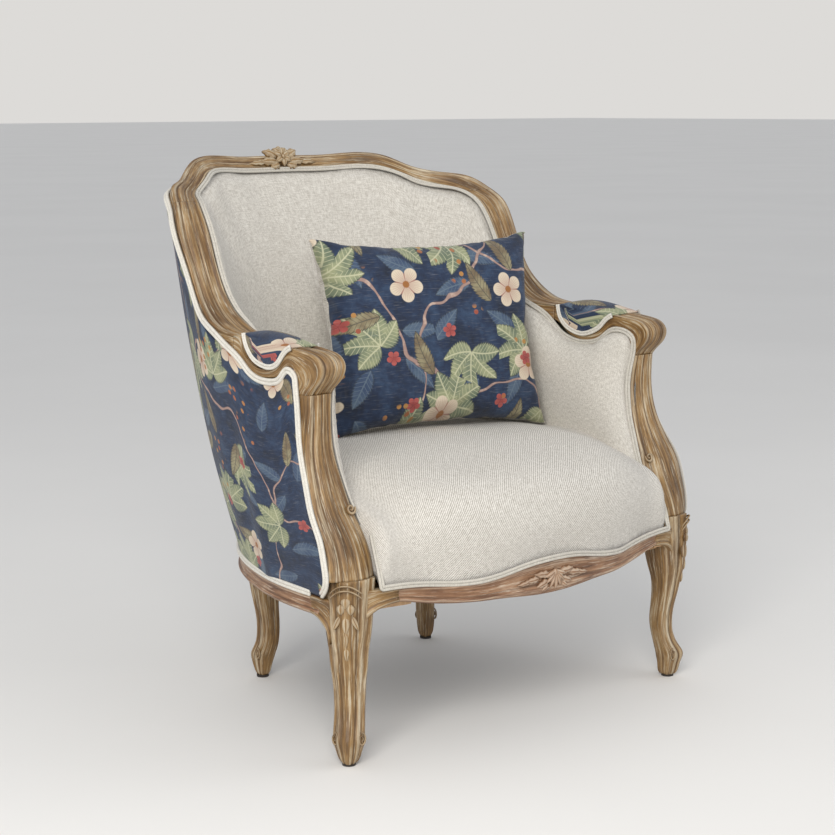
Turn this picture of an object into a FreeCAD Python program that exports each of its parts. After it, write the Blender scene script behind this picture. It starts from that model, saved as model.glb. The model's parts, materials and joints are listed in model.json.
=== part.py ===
import FreeCAD, Part
import math
import os

# A tub-shaped show-wood armchair with a loose square cushion.
# The chair's front faces -Y and +X is on the right of someone who faces it.
# The origin is on the floor under the middle of the chair. Sizes are in millimetres.

# Driving dimensions: seat frame
floor_glide_height = 4.0
glide_radius = 11.0
rail_bottom_z = 238.0
rail_height = 38.0
rail_thickness = 30.0
rail_rebate = 9.0
rail_show_height = 29.0
frame_half_width = 397.0
frame_front_y = -318.0
frame_back_y = 320.0

# Driving dimensions: legs
knee_above_rail = 24.0
leg_corner_radius = 5.0

# Driving dimensions: arms and back
arm_joint_above_seat = 125.0
arm_height = 76.0
back_above_arm = 274.0
back_beyond_frame = 110.0
stile_thickness = 28.0
stile_bead = 3.0
stile_rear_taper = 16.0

# Driving dimensions: hidden frame
upright_width = 34.0
upright_depth = 14.0
tacking_rail_inset = 18.0
tacking_rail_thickness = 18.0
tacking_rail_above_rail = 114.0
tacking_rail_height = 32.0
front_block_length = 110.0
rear_block_length = 70.0
block_height = 34.0
block_corner_in = 10.0
block_corner_out = 24.0
screw_spread = 14.0
screw_radius = 2.5
screw_length = 46.0
screw_head_radius = 5.0
screw_head_height = 3.0
dowel_radius = 4.0
dowel_length = 40.0
short_dowel_length = 30.0

# Driving dimensions: springs and upholstery
spring_wire_radius = 1.8
spring_spacing = 82.0
spring_count = 5
spring_loop_pitch = 26.0
spring_loop_half_width = 18.0
spring_lead = 34.0
clip_width = 14.0
clip_length = 18.0
clip_height = 6.0
hessian_thickness = 1.5
hessian_inset = 4.0
cloth_thickness = 1.5
outside_cover_thickness = 3.0
arm_padding_thickness = 30.0
back_padding_thickness = 30.0
padding_top_share = 0.55
seat_above_rail = 179.0
seat_foot_gap = 1.0
welt_radius = 4.0
pad_welt_radius = 3.0
arm_pad_crown = 10.0
arm_pad_overhang = 0.5
arm_pad_round = 6.0
dust_cloth_thickness = 1.5
dust_cloth_inset = 2.0
soft_gap = 0.4
padding_shy = 9.0

# Driving dimensions: loose cushion
cushion_width = 424.0
cushion_height = 356.0
cushion_thickness = 112.0
cushion_corner_radius = 7.0
cushion_drawn_in = 13.0
cushion_lean = 13.5
cushion_turn = -15.0
cushion_off_centre = 101.0
cushion_back_y = 100.0
cushion_above_seat = 169.0
filling_inset = 1.5

rail_top_z = rail_bottom_z + rail_height
knee_top_z = rail_top_z + knee_above_rail
seat_crown_z = rail_top_z + seat_above_rail
arm_joint_z = seat_crown_z + arm_joint_above_seat
arm_top_z = arm_joint_z + arm_height
crest_top_z = arm_top_z + back_above_arm
seat_edge_z = rail_top_z + seat_foot_gap
tacking_rail_bottom_z = rail_top_z + tacking_rail_above_rail
welt_diameter = 2 * welt_radius
cover_edge_z = rail_bottom_z + rail_show_height

# The curved pieces are drawn through stations. Each drawn point is carried from the levels
# it was drawn for to the levels that the dimensions above give.
drawn_half_width = 397.0
drawn_depths = (-318.0, 320.0, 430.0)
real_depths = (frame_front_y, frame_back_y, frame_back_y + back_beyond_frame)
drawn_levels = (0.0, 238.0, 276.0, 300.0, 455.0, 580.0, 656.0, 930.0)
real_levels = (0.0, rail_bottom_z, rail_top_z, knee_top_z, seat_crown_z, arm_joint_z, arm_top_z,
               crest_top_z)


def vec(x, y, z):
    return FreeCAD.Vector(x, y, z)


def carried(value, drawn, real):
    """Carry a drawn value to the real levels, in proportion between two of them."""
    index = 0
    while index < len(drawn) - 2 and value > drawn[index + 1]:
        index += 1
    share = (value - drawn[index]) / (drawn[index + 1] - drawn[index])
    return real[index] + share * (real[index + 1] - real[index])


def width(x):
    return x * frame_half_width / drawn_half_width


def depth(y):
    return carried(y, drawn_depths, real_depths)


def level(z):
    return carried(z, drawn_levels, real_levels)


def at(x, y, z=0.0):
    """A drawn point in its real place."""
    return vec(width(x), depth(y), level(z))


def line(a, b):
    return Part.LineSegment(a, b).toShape()


def arc(a, middle, b):
    return Part.Arc(a, middle, b).toShape()


def mirrored(shape):
    return shape.mirror(vec(0, 0, 0), vec(1, 0, 0))


def loft(wires):
    return Part.makeLoft(wires, True, False)


def save(name, shape):
    """Write one node, moved so that the origin is under the middle of the whole chair."""
    shape = shape.copy()
    shape.translate(vec(0, -middle_y, 0))
    if shape.ShapeType == "Compound" and len(shape.Solids) == 1:
        shape = shape.Solids[0]
    shape.exportStep("parts/" + name + ".step")
    print(name, len(shape.Solids), round(shape.Volume), shape.isValid())


def save_pair(name, right_shape):
    save(name + "_right", right_shape)
    save(name + "_left", mirrored(right_shape))


def largest(shape):
    return max(shape.Solids, key=lambda solid: solid.Volume)


def spline_through(points):
    curve = Part.BSplineCurve()
    curve.interpolate(points)
    return curve


# Plan of the seat frame's outer face, right half, from the front corner to the back.
rail_plan_points = [(397, -213), (390, -78), (368.5, 8), (331.5, 99.5), (254, 211.5), (168.5, 284),
                    (87.5, 313), (0, 320)]


def full_rail_curve():
    right = [at(x, y) for x, y in rail_plan_points]
    left = [vec(-p.x, p.y, 0) for p in reversed(right[:-1])]
    return spline_through(right + left)


rail_curve = full_rail_curve()


def rail_plan_at(share):
    """A point on the frame's plan and its outward normal; 0 is the right front corner, 1 the left."""
    first, last = rail_curve.FirstParameter, rail_curve.LastParameter
    parameter = first + (last - first) * share
    point = rail_curve.value(parameter)
    tangent = rail_curve.tangent(parameter)[0]
    normal = vec(tangent.y, -tangent.x, 0)
    return point, normal


def plan_share_at(y_wanted):
    """The share along the right half of the frame's plan where it passes a given y."""
    low, high = 0.0, 0.5
    for step in range(40):
        middle = (low + high) / 2
        if rail_plan_at(middle)[0].y < y_wanted:
            low = middle
        else:
            high = middle
    return low


def band(start, end, inset_outer, inset_inner, bottom_z, height, count=9):
    """A curved rail that follows the frame's plan between two insets."""
    outer = []
    inner = []
    for index in range(count):
        share = start + (end - start) * index / (count - 1)
        point, normal = rail_plan_at(share)
        outer.append(point - normal * inset_outer + vec(0, 0, bottom_z))
        inner.append(point - normal * inset_inner + vec(0, 0, bottom_z))
    outer_edge = spline_through(outer).toShape()
    inner_edge = spline_through(list(reversed(inner))).toShape()
    wire = Part.Wire([outer_edge, line(outer[-1], inner[-1]), inner_edge, line(inner[0], outer[0])])
    return Part.Face(wire).extrude(vec(0, 0, height))


def show_rail(start, end):
    lower = band(start, end, 0, rail_thickness, rail_bottom_z, rail_show_height)
    upper = band(start, end, rail_rebate, rail_thickness, cover_edge_z, rail_height - rail_show_height)
    return lower.fuse(upper).removeSplitter()


# Legs. A station is its height, how far it reaches out and in along the diagonal
# from the foot's middle, and its half width across that diagonal.
front_leg_stations = [(0, 17.5, 18.5, 15), (25, 22.5, 21, 21.5), (44, 27, 25, 25.3),
                      (62, 16.4, 29, 25), (80, 8.9, 33, 24.5), (103, 6.7, 36.4, 25),
                      (131, 9.7, 35, 26.6), (159, 16.3, 33.8, 29.8), (183, 21.2, 36, 31.5),
                      (203, 26, 42, 34.5), (238, 29, 50, 38), (270, 30, 54, 40),
                      (300, 29, 56, 42)]
rear_leg_stations = [(0, 12, 14, 12), (22, 17.5, 19, 16), (43, 21, 26, 17.5),
                     (62, 13, 31.5, 18), (86, 9.4, 34, 18.5), (114, 10.8, 33.9, 20),
                     (142, 16, 33.5, 22), (169, 21, 36, 24), (205, 27, 40, 27),
                     (238, 31, 44, 30)]


def diagonal_square(middle, along, out, inward, half_width, z):
    """A four-cornered section with rounded corners, one corner pointing out along the diagonal."""
    across = vec(-along.y, along.x, 0)
    centre = (out - inward) / 2
    corners = [along * out, along * centre + across * half_width,
               along * -inward, along * centre - across * half_width]
    corners = [corner + vec(middle[0], middle[1], z) for corner in corners]
    edges = []
    starts = []
    ends = []
    bends = []
    for index, corner in enumerate(corners):
        before = (corners[index - 1] - corner).normalize()
        after = (corners[(index + 1) % 4] - corner).normalize()
        half_angle = before.getAngle(after) / 2
        reach = leg_corner_radius / math.tan(half_angle)
        centre_line = (before + after).normalize()
        to_centre = leg_corner_radius / math.sin(half_angle)
        starts.append(corner + before * reach)
        ends.append(corner + after * reach)
        bends.append(corner + centre_line * (to_centre - leg_corner_radius))
    for index in range(4):
        edges.append(arc(starts[index], bends[index], ends[index]))
        edges.append(line(ends[index], starts[(index + 1) % 4]))
    return Part.Wire(edges)


def cabriole_leg(place, stations, out_y):
    along = vec(1, out_y, 0).normalize()
    wires = []
    for height, out, inward, half_width in stations:
        z = level(height) if height else floor_glide_height
        wires.append(diagonal_square(place, along, out, inward, half_width, z))
    return loft(wires)


front_leg_place = at(367, -237)
rear_leg_place = at(194, 237)
front_leg = cabriole_leg(front_leg_place, front_leg_stations, -1)
rear_leg = cabriole_leg(rear_leg_place, rear_leg_stations, 1)

# Arm posts. A station is its height, then the plan points of its inner front, outer front,
# outer rear and inner rear corners, and how far the front face swells.
post_stations = [(300, (324, -250), (405, -240), (396, -205), (332, -205), 14),
                 (330, (322, -240), (405, -236), (394, -200), (332, -200), 10),
                 (364, (322, -221), (406, -226), (393, -190), (334, -190), 7),
                 (396, (327, -202), (409, -211), (392, -175), (338, -172), 5),
                 (440, (332, -182), (402, -186), (391, -155), (343, -150), 4),
                 (490, (336, -165), (394, -168), (389, -135), (346, -132), 4),
                 (540, (338, -162), (388, -166), (387, -130), (346, -128), 4),
                 (580, (341, -168), (388, -168), (388, -130), (346, -130), 4)]


def post_section(station):
    height, inner_front, outer_front, outer_rear, inner_rear, swell = station
    corners = (inner_front, outer_front, outer_rear, inner_rear)
    a, b, c, d = [at(x, y, height) for x, y in corners]
    middle = (a + b) * 0.5 - vec(0, swell, 0)
    return Part.Wire([arc(a, middle, b), line(b, c), line(c, d), line(d, a)])


arm_post = loft([post_section(station) for station in post_stations])

# Stiles and crest. A station is the inner and the outer edge of the show face, right half,
# from the middle of the crest round the shoulder and down to the arm.
crest_stations = [((0, 418, 907), (0, 430, 930)),
                  ((100, 411, 907), (104, 424, 930)),
                  ((195, 374, 905), (222, 388, 926)),
                  ((228, 344, 891), (266, 354, 904)),
                  ((258, 321, 876), (312, 302, 893)),
                  ((281, 291, 868), (343, 272, 885)),
                  ((299, 256, 861), (364, 234, 861))]
stile_stations = [((299, 256, 861), (364, 234, 861)),
                  ((312, 226, 846), (374, 214, 843)),
                  ((318, 198, 813), (380, 197, 811)),
                  ((321, 173, 763), (379, 174, 763)),
                  ((321, 147, 714), (380, 149, 716)),
                  ((318, 122, 683), (385, 121, 687)),
                  ((318, 78, 661), (389, 80, 664)),
                  ((333, 30, 656), (389, 30, 656))]


def show_face(stations):
    return [(at(*inner), at(*outer)) for inner, outer in stations]


def back_directions(faces):
    """For each station, the direction from the show face into the wood."""
    middles = [(inner + outer) * 0.5 for inner, outer in faces]
    result = []
    for index, (inner, outer) in enumerate(faces):
        before = middles[max(index - 1, 0)]
        after = middles[min(index + 1, len(middles) - 1)]
        direction = (after - before).cross(outer - inner).normalize()
        if direction.y * 0.9 - direction.z * 0.4 < 0:
            direction = direction * -1
        result.append(direction)
    return result


def moulded_section(inner, outer, back, taper):
    """A show face of two beads and a hollow between them, with a plain, tapered back."""
    bead_share = 0.24
    inner_bead_end = inner + (outer - inner) * bead_share
    outer_bead_start = inner + (outer - inner) * (1 - bead_share)
    inner_crown = (inner + inner_bead_end) * 0.5 - back * stile_bead
    outer_crown = (outer_bead_start + outer) * 0.5 - back * stile_bead
    hollow = (inner + outer) * 0.5 + back * stile_bead * 0.5
    inner_rear = inner + back * stile_thickness
    outer_rear = outer + back * stile_thickness + (inner - outer).normalize() * taper
    return Part.Wire([arc(inner, inner_crown, inner_bead_end),
                      arc(inner_bead_end, hollow, outer_bead_start),
                      arc(outer_bead_start, outer_crown, outer),
                      line(outer, outer_rear), line(outer_rear, inner_rear),
                      line(inner_rear, inner)])


right_crest = show_face(crest_stations)
left_crest = [(vec(-a.x, a.y, a.z), vec(-b.x, b.y, b.z)) for a, b in reversed(right_crest[1:])]
crest_faces = left_crest + right_crest
stile_faces = show_face(stile_stations)
whole_right = right_crest[:-1] + stile_faces
whole_backs = back_directions(whole_right)
whole_backs[0] = vec(0, whole_backs[0].y, whole_backs[0].z).normalize()
whole_backs[-1] = vec(0, 0, -1)
crest_backs_right = whole_backs[:len(right_crest)]
stile_backs = whole_backs[len(right_crest) - 1:]
crest_backs = [vec(-d.x, d.y, d.z) for d in reversed(crest_backs_right[1:])] + crest_backs_right


def ribbon(faces, backs, tapers):
    wires = []
    for (inner, outer), back, taper in zip(faces, backs, tapers):
        wires.append(moulded_section(inner, outer, back, taper))
    return loft(wires)


# The taper runs out where the stile meets the square arm rail.
stile_tapers = [stile_rear_taper] * (len(stile_faces) - 2) + [stile_rear_taper / 2, 0.0]
crest_rail = ribbon(crest_faces, crest_backs, [stile_rear_taper] * len(crest_faces))
back_stile = ribbon(stile_faces, stile_backs, stile_tapers)

# Arm rails: the side view of the wood from the stile forward to the knuckle.
pad_rear = (12, 654)
pad_front = (-113, 647)
pad_hollow_arcs = [(pad_rear, (-1, 627), (-30, 613)), ((-30, 613), (-50, 611), (-74, 616)),
                   ((-74, 616), (-96, 628), pad_front)]
knuckle_points = [pad_front, (-142, 645), (-174, 642), (-194, 634), (-201, 622), (-188, 607)]
arm_under_points = [(-140, 608), (-126, 619), (-113, 615), (-97, 604), (-72, 597),
                    (-40, 597), (-10, 607), (8, 619)]
post_front_y = depth(-168)
post_rear_y = depth(-130)
stile_end_y = depth(30)
arm_inner_x = width(333)
arm_outer_x = width(389)


def side_point(point, x, rise=0.0):
    """A point of the drawn side view, at a real x."""
    return vec(x, depth(point[0]), level(point[1]) + rise)


def pad_hollow_edges(x, rise=0.0):
    edges = []
    for a, middle, b in pad_hollow_arcs:
        edges.append(arc(side_point(a, x, rise), side_point(middle, x, rise), side_point(b, x, rise)))
    return edges


def arm_rail_shape():
    x = arm_inner_x
    stile_top = vec(x, stile_end_y, arm_top_z)
    stile_foot = stile_top - vec(0, 0, stile_thickness)
    knuckle = [side_point(point, x) for point in knuckle_points] + [vec(x, post_front_y, arm_joint_z)]
    under = [vec(x, post_rear_y, arm_joint_z)]
    under += [side_point(point, x) for point in arm_under_points] + [stile_foot]
    edges = [line(stile_top, side_point(pad_rear, x))] + pad_hollow_edges(x)
    edges.append(spline_through(knuckle).toShape())
    edges.append(line(knuckle[-1], under[0]))
    edges.append(spline_through(under).toShape())
    edges.append(line(stile_foot, stile_top))
    return Part.Face(Part.Wire(edges)).extrude(vec(arm_outer_x - arm_inner_x, 0, 0))


arm_rail = arm_rail_shape()

# Seat frame
front_rail_plan = [(0, -318), (80, -315), (160, -305), (215, -288), (260, -277), (335, -268)]


def front_rail_shape():
    front = [at(x, y, 0) + vec(0, 0, rail_bottom_z) for x, y in front_rail_plan]
    left = [vec(-p.x, p.y, p.z) for p in reversed(front[1:])]
    outline = left + front
    back = [p + vec(0, rail_thickness, 0) for p in reversed(outline)]
    wire = Part.Wire([spline_through(outline).toShape(), line(outline[-1], back[0]),
                      spline_through(back).toShape(), line(back[-1], outline[0])])
    return Part.Face(wire).extrude(vec(0, 0, rail_height))


rear_joint_share = plan_share_at(rear_leg_place.y + 14)
front_rail = front_rail_shape().cut(front_leg).cut(mirrored(front_leg))
front_rail = largest(front_rail)
side_rail = largest(show_rail(0.0, rear_joint_share).cut(front_leg))
back_rail = show_rail(rear_joint_share, 1 - rear_joint_share)


def carved_spray(middle, half_width, half_height, depth, face_normal, up):
    """A shallow shield with drawn-in sides that stands for a carved spray."""
    across = up.cross(face_normal).normalize()
    layers = [(0.0, 1.0), (0.6, 0.9), (1.0, 0.55)]
    wires = []
    for level, share in layers:
        base = middle + face_normal * depth * level
        a = base - across * half_width * share
        b = base + up * half_height * share
        c = base + across * half_width * share
        d = base - up * half_height * share
        mids = []
        for p, q in ((a, b), (b, c), (c, d), (d, a)):
            chord = (p + q) * 0.5
            mids.append(chord + (base - chord) * 0.12)
        wires.append(Part.Wire([arc(a, mids[0], b), arc(b, mids[1], c),
                                arc(c, mids[2], d), arc(d, mids[3], a)]))
    return loft(wires)


crest_front = crest_backs_right[0] * -1
crest_up = vec(0, -crest_front.z, crest_front.y)
if crest_up.z < 0:
    crest_up = crest_up * -1
crest_middle = (right_crest[0][0] + right_crest[0][1]) * 0.5
crest_carving = carved_spray(crest_middle + crest_up * 9 + crest_front * 1, 72, 24, 15, crest_front, crest_up)
crest_carving = largest(crest_carving.cut(crest_rail))
apron_middle = vec(0, frame_front_y + 3, rail_bottom_z + rail_height * 0.62)
apron_carving = carved_spray(apron_middle, 78, 29, 16, vec(0, -1, 0), vec(0, 0, 1))
welt_room = Part.makeBox(400, 40, 40, vec(-200, frame_front_y - welt_diameter, rail_top_z))
apron_carving = largest(apron_carving.cut(front_rail).cut(welt_room))

# Hidden frame
upright_path = [(189, 241, 276), (213, 270, 430), (234, 320, 670), (244.5, 350, 885)]


def upright_shape():
    wires = []
    point, normal = rail_plan_at(rear_joint_share)
    side = vec(-normal.y, normal.x, 0)
    for x, y, z in upright_path:
        middle = at(x, y, z)
        corners = [middle + side * upright_width * i / 2 + normal * upright_depth * j / 2
                   for i, j in ((-1, -1), (1, -1), (1, 1), (-1, 1))]
        wires.append(Part.makePolygon(corners + [corners[0]]))
    return loft(wires)


back_upright = largest(upright_shape().cut(crest_rail))


def tacking_rail(start, end):
    return band(start, end, tacking_rail_inset, tacking_rail_inset + tacking_rail_thickness,
                tacking_rail_bottom_z, tacking_rail_height)


arm_tacking_rail = largest(tacking_rail(0.01, rear_joint_share).cut(arm_post).cut(back_upright))
back_tacking_rail = tacking_rail(rear_joint_share, 1 - rear_joint_share)
back_tacking_rail = largest(back_tacking_rail.cut(back_upright).cut(mirrored(back_upright)))


def corner_block(x, y, toward_x, toward_y, length):
    z = rail_top_z - block_height
    points = [vec(x, y, z), vec(x + toward_x * length, y, z),
              vec(x, y + toward_y * length, z)]
    return Part.Face(Part.makePolygon(points + [points[0]])).extrude(vec(0, 0, block_height))


front_corner = (front_leg_place.x - block_corner_in, front_leg_place.y - block_corner_in)
rear_corner = (rear_leg_place.x + block_corner_out, rear_leg_place.y + block_corner_out)
front_block = corner_block(front_corner[0], front_corner[1], -1, 1, front_block_length)
front_block = largest(front_block.cut(front_leg).cut(front_rail).cut(side_rail))
rear_block = corner_block(rear_corner[0], rear_corner[1], -1, -1, rear_block_length)
rear_block = largest(rear_block.cut(side_rail).cut(back_rail))


# The cloth meets the ribbon of wood along its edges. These give, for each station of the
# ribbon from the middle of the crest to the arm, a point just off one of its edges.
ribbon_pairs = [tuple(pair) for pair in whole_right]
crest_last = len(right_crest) - 2


def off_outer_edge(index, off, deep):
    inner, outer = ribbon_pairs[index]
    across = (outer - inner).normalize()
    return outer + across * off + whole_backs[index] * deep


def off_inner_edge(index, off, deep):
    inner, outer = ribbon_pairs[index]
    across = (outer - inner).normalize()
    return inner - across * off + whole_backs[index] * deep


def behind_ribbon(index, share, off):
    inner, outer = ribbon_pairs[index]
    return inner + (outer - inner) * share + whole_backs[index] * (stile_thickness + off)


# Outside cover. A station is the share of the frame's plan where its foot stands, its top,
# and the swell of the cloth between them.
cover_off = outside_cover_thickness + soft_gap
cover_inset = rail_rebate - outside_cover_thickness - 1.0
cover_x = arm_outer_x + cover_off + soft_gap
outside_arm_stations = [(0.012, side_point((-127, 600), cover_x - 2), 6),
                        (0.040, side_point((-113, 613), cover_x), 5),
                        (0.070, side_point((-75, 597), cover_x), 4),
                        (0.100, side_point((-40, 598), cover_x), 4),
                        (0.130, side_point((-5, 614), cover_x), 5),
                        (0.165, off_outer_edge(13, cover_off, 19), 6),
                        (0.200, off_outer_edge(12, cover_off + 3, 2), 8),
                        (0.230, off_outer_edge(11, cover_off + 5, 1), 10),
                        (0.255, off_outer_edge(10, cover_off + 4, 1), 12),
                        (0.285, off_outer_edge(9, cover_off + 4, 1), 14),
                        (0.310, off_outer_edge(8, cover_off + 5, 1), 16)]
outside_back_stations = [outside_arm_stations[-1],
                         (0.335, off_outer_edge(7, cover_off + 5, 4), 17),
                         (0.360, off_outer_edge(6, cover_off + 4, 12), 17),
                         (0.378, off_outer_edge(5, cover_off + 2, stile_thickness), 17),
                         (0.393, off_outer_edge(4, cover_off - 4, stile_thickness + cover_off + 1), 17),
                         (0.410, behind_ribbon(3, 0.35, cover_off), 17),
                         (0.435, behind_ribbon(2, 0.35, cover_off), 16),
                         (0.467, behind_ribbon(1, 0.35, cover_off), 16),
                         (0.500, behind_ribbon(0, 0.35, cover_off), 16)]


def across_middle(point, side):
    return vec(point.x * side, point.y, point.z)


def outside_section(station, side):
    share, top, swell = station
    foot, normal = rail_plan_at(share)
    foot = foot - normal * cover_inset + vec(0, 0, cover_edge_z + soft_gap)
    middle = (foot + top) * 0.5 + normal * swell
    inward = normal * -outside_cover_thickness
    points = [foot, middle, top, top + inward, middle + inward, foot + inward]
    a, b, c, d, e, f = [across_middle(point, side) for point in points]
    return Part.Wire([arc(a, b, c), line(c, d), arc(d, e, f), line(f, a)])


def both_sides(stations, section):
    """Sections over the whole width, from the left side through the middle to the right."""
    wires = [section(station, -1) for station in stations[:-1]]
    return wires + [section(station, 1) for station in reversed(stations)]


outside_arm_cover = loft([outside_section(station, 1) for station in outside_arm_stations])
outside_back_cover = loft(both_sides(outside_back_stations, outside_section))

# Inside padding. A station is its foot and middle on the visible face, its top, the
# direction into the padding at the top, and the outward direction at the foot.
down_side = vec(0, 0, -1)
inside_arm_stations = [(at(325, -131, 432), at(330, -127, 510), at(331, -123, 604), (1.0, 0.0)),
                       (at(320, -100, 432), at(306, -95, 520), at(331, -92, 592), (1.0, 0.0)),
                       (at(319, -40, 432), at(303, -36, 522), at(331, -40, 585), (1.0, 0.0)),
                       (at(318, 10, 432), at(302, 10, 530), at(331, 4, 600), (1.0, 0.1))]
inside_bend_stations = [(at(315, 44, 432), at(301, 50, 545), off_inner_edge(13, 5, 34), (1.0, 0.2)),
                        (at(308, 80, 432), at(294, 96, 560), off_inner_edge(12, 8, 12), (0.95, 0.3)),
                        (at(296, 104, 432), at(288, 128, 585), off_inner_edge(11, 8, 2), (0.88, 0.48))]
inside_back_stations = [inside_bend_stations[-1],
                        (at(278, 126, 432), at(278, 156, 600), off_inner_edge(10, 9, 2), (0.82, 0.57)),
                        (at(254, 150, 432), at(262, 188, 625), off_inner_edge(9, 9, 2), (0.76, 0.65)),
                        (at(230, 170, 432), at(244, 214, 640), off_inner_edge(8, 9, 2), (0.70, 0.72)),
                        (at(208, 186, 432), at(226, 234, 650), off_inner_edge(7, 9, 2), (0.62, 0.78)),
                        (at(180, 203, 432), at(200, 254, 658), off_inner_edge(6, 10, 2), (0.52, 0.85)),
                        (at(165, 210, 432), at(186, 262, 661), off_inner_edge(5, 10, 2), (0.47, 0.88)),
                        (at(147, 217, 432), at(167, 271, 664), off_inner_edge(4, 10, 2), (0.40, 0.91)),
                        (at(126, 223, 432), at(142, 280, 666), off_inner_edge(3, 9, 2), (0.34, 0.94)),
                        (at(100, 228, 432), at(112, 287, 668), off_inner_edge(2, 9, 2), (0.26, 0.97)),
                        (at(52, 234, 432), at(57, 295, 670), off_inner_edge(1, 9, 2), (0.12, 0.99)),
                        (at(0, 235, 432), at(0, 297, 670), off_inner_edge(0, 9, 2), (0.0, 1.0))]


def inside_section(station, side, near, far):
    foot, middle, top, outward = station
    direction = vec(outward[0], outward[1], 0).normalize()
    section_normal = (top - foot).cross(direction).normalize()
    middle = middle - section_normal * (middle - foot).dot(section_normal)
    shallow = direction * near
    deep = direction * far
    top_deep = direction * (near + (far - near) * padding_top_share)
    points = [foot + shallow, middle + shallow, top + shallow, top + top_deep, middle + deep, foot + deep]
    a, b, c, d, e, f = [across_middle(point, side) for point in points]
    return Part.Wire([arc(a, b, c), line(c, d), arc(d, e, f), line(f, a)])


def inside_arm(near, far):
    stations = inside_arm_stations + inside_bend_stations
    return loft([inside_section(station, 1, near, far) for station in stations])


def inside_back(near, far):
    def section(station, side):
        return inside_section(station, side, near, far)

    return loft(both_sides(inside_back_stations, section))


padding_near = cloth_thickness + soft_gap
inside_arm_cover = inside_arm(0, cloth_thickness)
inside_arm_padding = inside_arm(padding_near, arm_padding_thickness)
inside_back_cover = inside_back(0, cloth_thickness)
inside_back_padding = inside_back(padding_near, back_padding_thickness)


def wood_prism():
    """All that lies beyond the ribbon's inner edge, seen from the front, right half."""
    edge = []
    for index in range(13, -1, -1):
        point = off_inner_edge(index, padding_shy, 0)
        edge.append(vec(point.x, 0, point.z + min(0, whole_backs[index].z) * stile_thickness))
    outline = edge + [vec(0, 0, 1200), vec(600, 0, 1200), vec(600, 0, edge[0].z)]
    return Part.Face(Part.makePolygon(outline + [outline[0]])).extrude(vec(0, 600, 0))


padding_room = wood_prism()
inside_arm_padding = largest(inside_arm_padding.cut(padding_room))
inside_back_padding = largest(inside_back_padding.cut(padding_room).cut(mirrored(padding_room)))

# Seat. A station is its distance from the middle, then the side view of the cloth:
# front foot, front shoulder, the round of the front edge, the top and the back edge.
seat_stations = [(0, -313, (-322, 345), (-303, 405), (-235, 440), (-20, 455), (229, 440)),
                 (150, -301, (-311, 345), (-291, 403), (-225, 437), (-20, 453), (203, 440)),
                 (250, -274, (-284, 342), (-266, 393), (-208, 424), (-40, 446), (128, 440)),
                 (296, -267, (-273, 337), (-259, 374), (-206, 401), (-60, 436), (58, 438)),
                 (314, -265, (-269, 333), (-256, 366), (-205, 391), (-70, 431), (14, 436))]


def seat_section(station, inset, side):
    x, foot_y, shoulder, front_round, top_front, crown, back = station
    side_inset = inset if station == seat_stations[-1] else 0
    x = (width(x) - side_inset) * side
    low = vec(x, depth(foot_y) + inset, seat_edge_z)
    a = vec(x, depth(shoulder[0]) + inset, level(shoulder[1]))
    b = vec(x, depth(front_round[0]) + inset, level(front_round[1]) - inset)
    c, d, e = [vec(x, depth(y), level(z) - inset) for y, z in (top_front, crown, back)]
    heel = vec(x, e.y, seat_edge_z)
    return Part.Wire([line(low, a), arc(a, b, c), arc(c, d, e), line(e, heel), line(heel, low)])


def seat_shape(inset):
    def section(station, side):
        return seat_section(station, inset, side)

    return loft(both_sides(list(reversed(seat_stations)), section))


seat_padding_raw = seat_shape(cloth_thickness)
hessian_z = rail_top_z + spring_wire_radius * 2 + clip_height
seat_well = Part.makeBox(1000, 1000, hessian_z + hessian_thickness - seat_edge_z + 20,
                         vec(-500, -500, seat_edge_z - 20))
seat_padding = largest(seat_padding_raw.cut(seat_well))
seat_cover = largest(seat_shape(0).cut(seat_padding_raw))

# Arm pads fill the hollow in each arm rail and rise above it with a crown.
pad_sections = [(arm_inner_x - arm_pad_overhang, 0.5), (arm_inner_x + arm_pad_round, 0.8),
                ((arm_inner_x + arm_outer_x) / 2, 1.0), (arm_outer_x - arm_pad_round, 0.8),
                (arm_outer_x + arm_pad_overhang, 0.5)]


def arm_pad_section(x, crown_share):
    bottom = pad_hollow_edges(x, soft_gap)
    rear = side_point(pad_rear, x, soft_gap)
    front = side_point(pad_front, x, soft_gap)
    top = (rear + front) * 0.5 + vec(0, 0, arm_pad_crown * crown_share)
    return Part.Wire(bottom + [arc(front, top, rear)])


arm_pad = loft([arm_pad_section(x, crown_share) for x, crown_share in pad_sections])


def tube(points, radius):
    """A round cord: straight runs joined by arcs as large as the runs allow."""
    path = []
    start = points[0]
    for before, corner, after in zip(points, points[1:], points[2:]):
        into = (before - corner)
        out = (after - corner)
        shorter = min(into.Length, out.Length)
        into = into.normalize()
        out = out.normalize()
        half = into.getAngle(out) / 2
        reach = 0.45 * shorter
        bend_radius = reach * math.tan(half)
        first = corner + into * reach
        last = corner + out * reach
        towards = (into + out).normalize()
        crown = corner + towards * (reach / math.cos(half) - bend_radius)
        path.append(line(start, first))
        path.append(arc(first, crown, last))
        start = last
    path.append(line(start, points[-1]))
    wire = Part.Wire(path)
    direction = (points[1] - points[0]).normalize()
    profile = Part.Wire([Part.Circle(points[0], direction, radius).toShape()])
    shell = Part.BRepOffsetAPI.MakePipeShell(wire)
    shell.add(profile)
    shell.build()
    shell.makeSolid()
    solid = shell.shape()
    print("tube", round(wire.Length), "mm, volume ratio",
          round(solid.Volume / (math.pi * radius ** 2 * wire.Length), 3))
    return solid


def whole_width(points):
    left = [vec(-p.x, p.y, p.z) for p in points if p.x > 0.01]
    return left + list(reversed(points))


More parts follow.
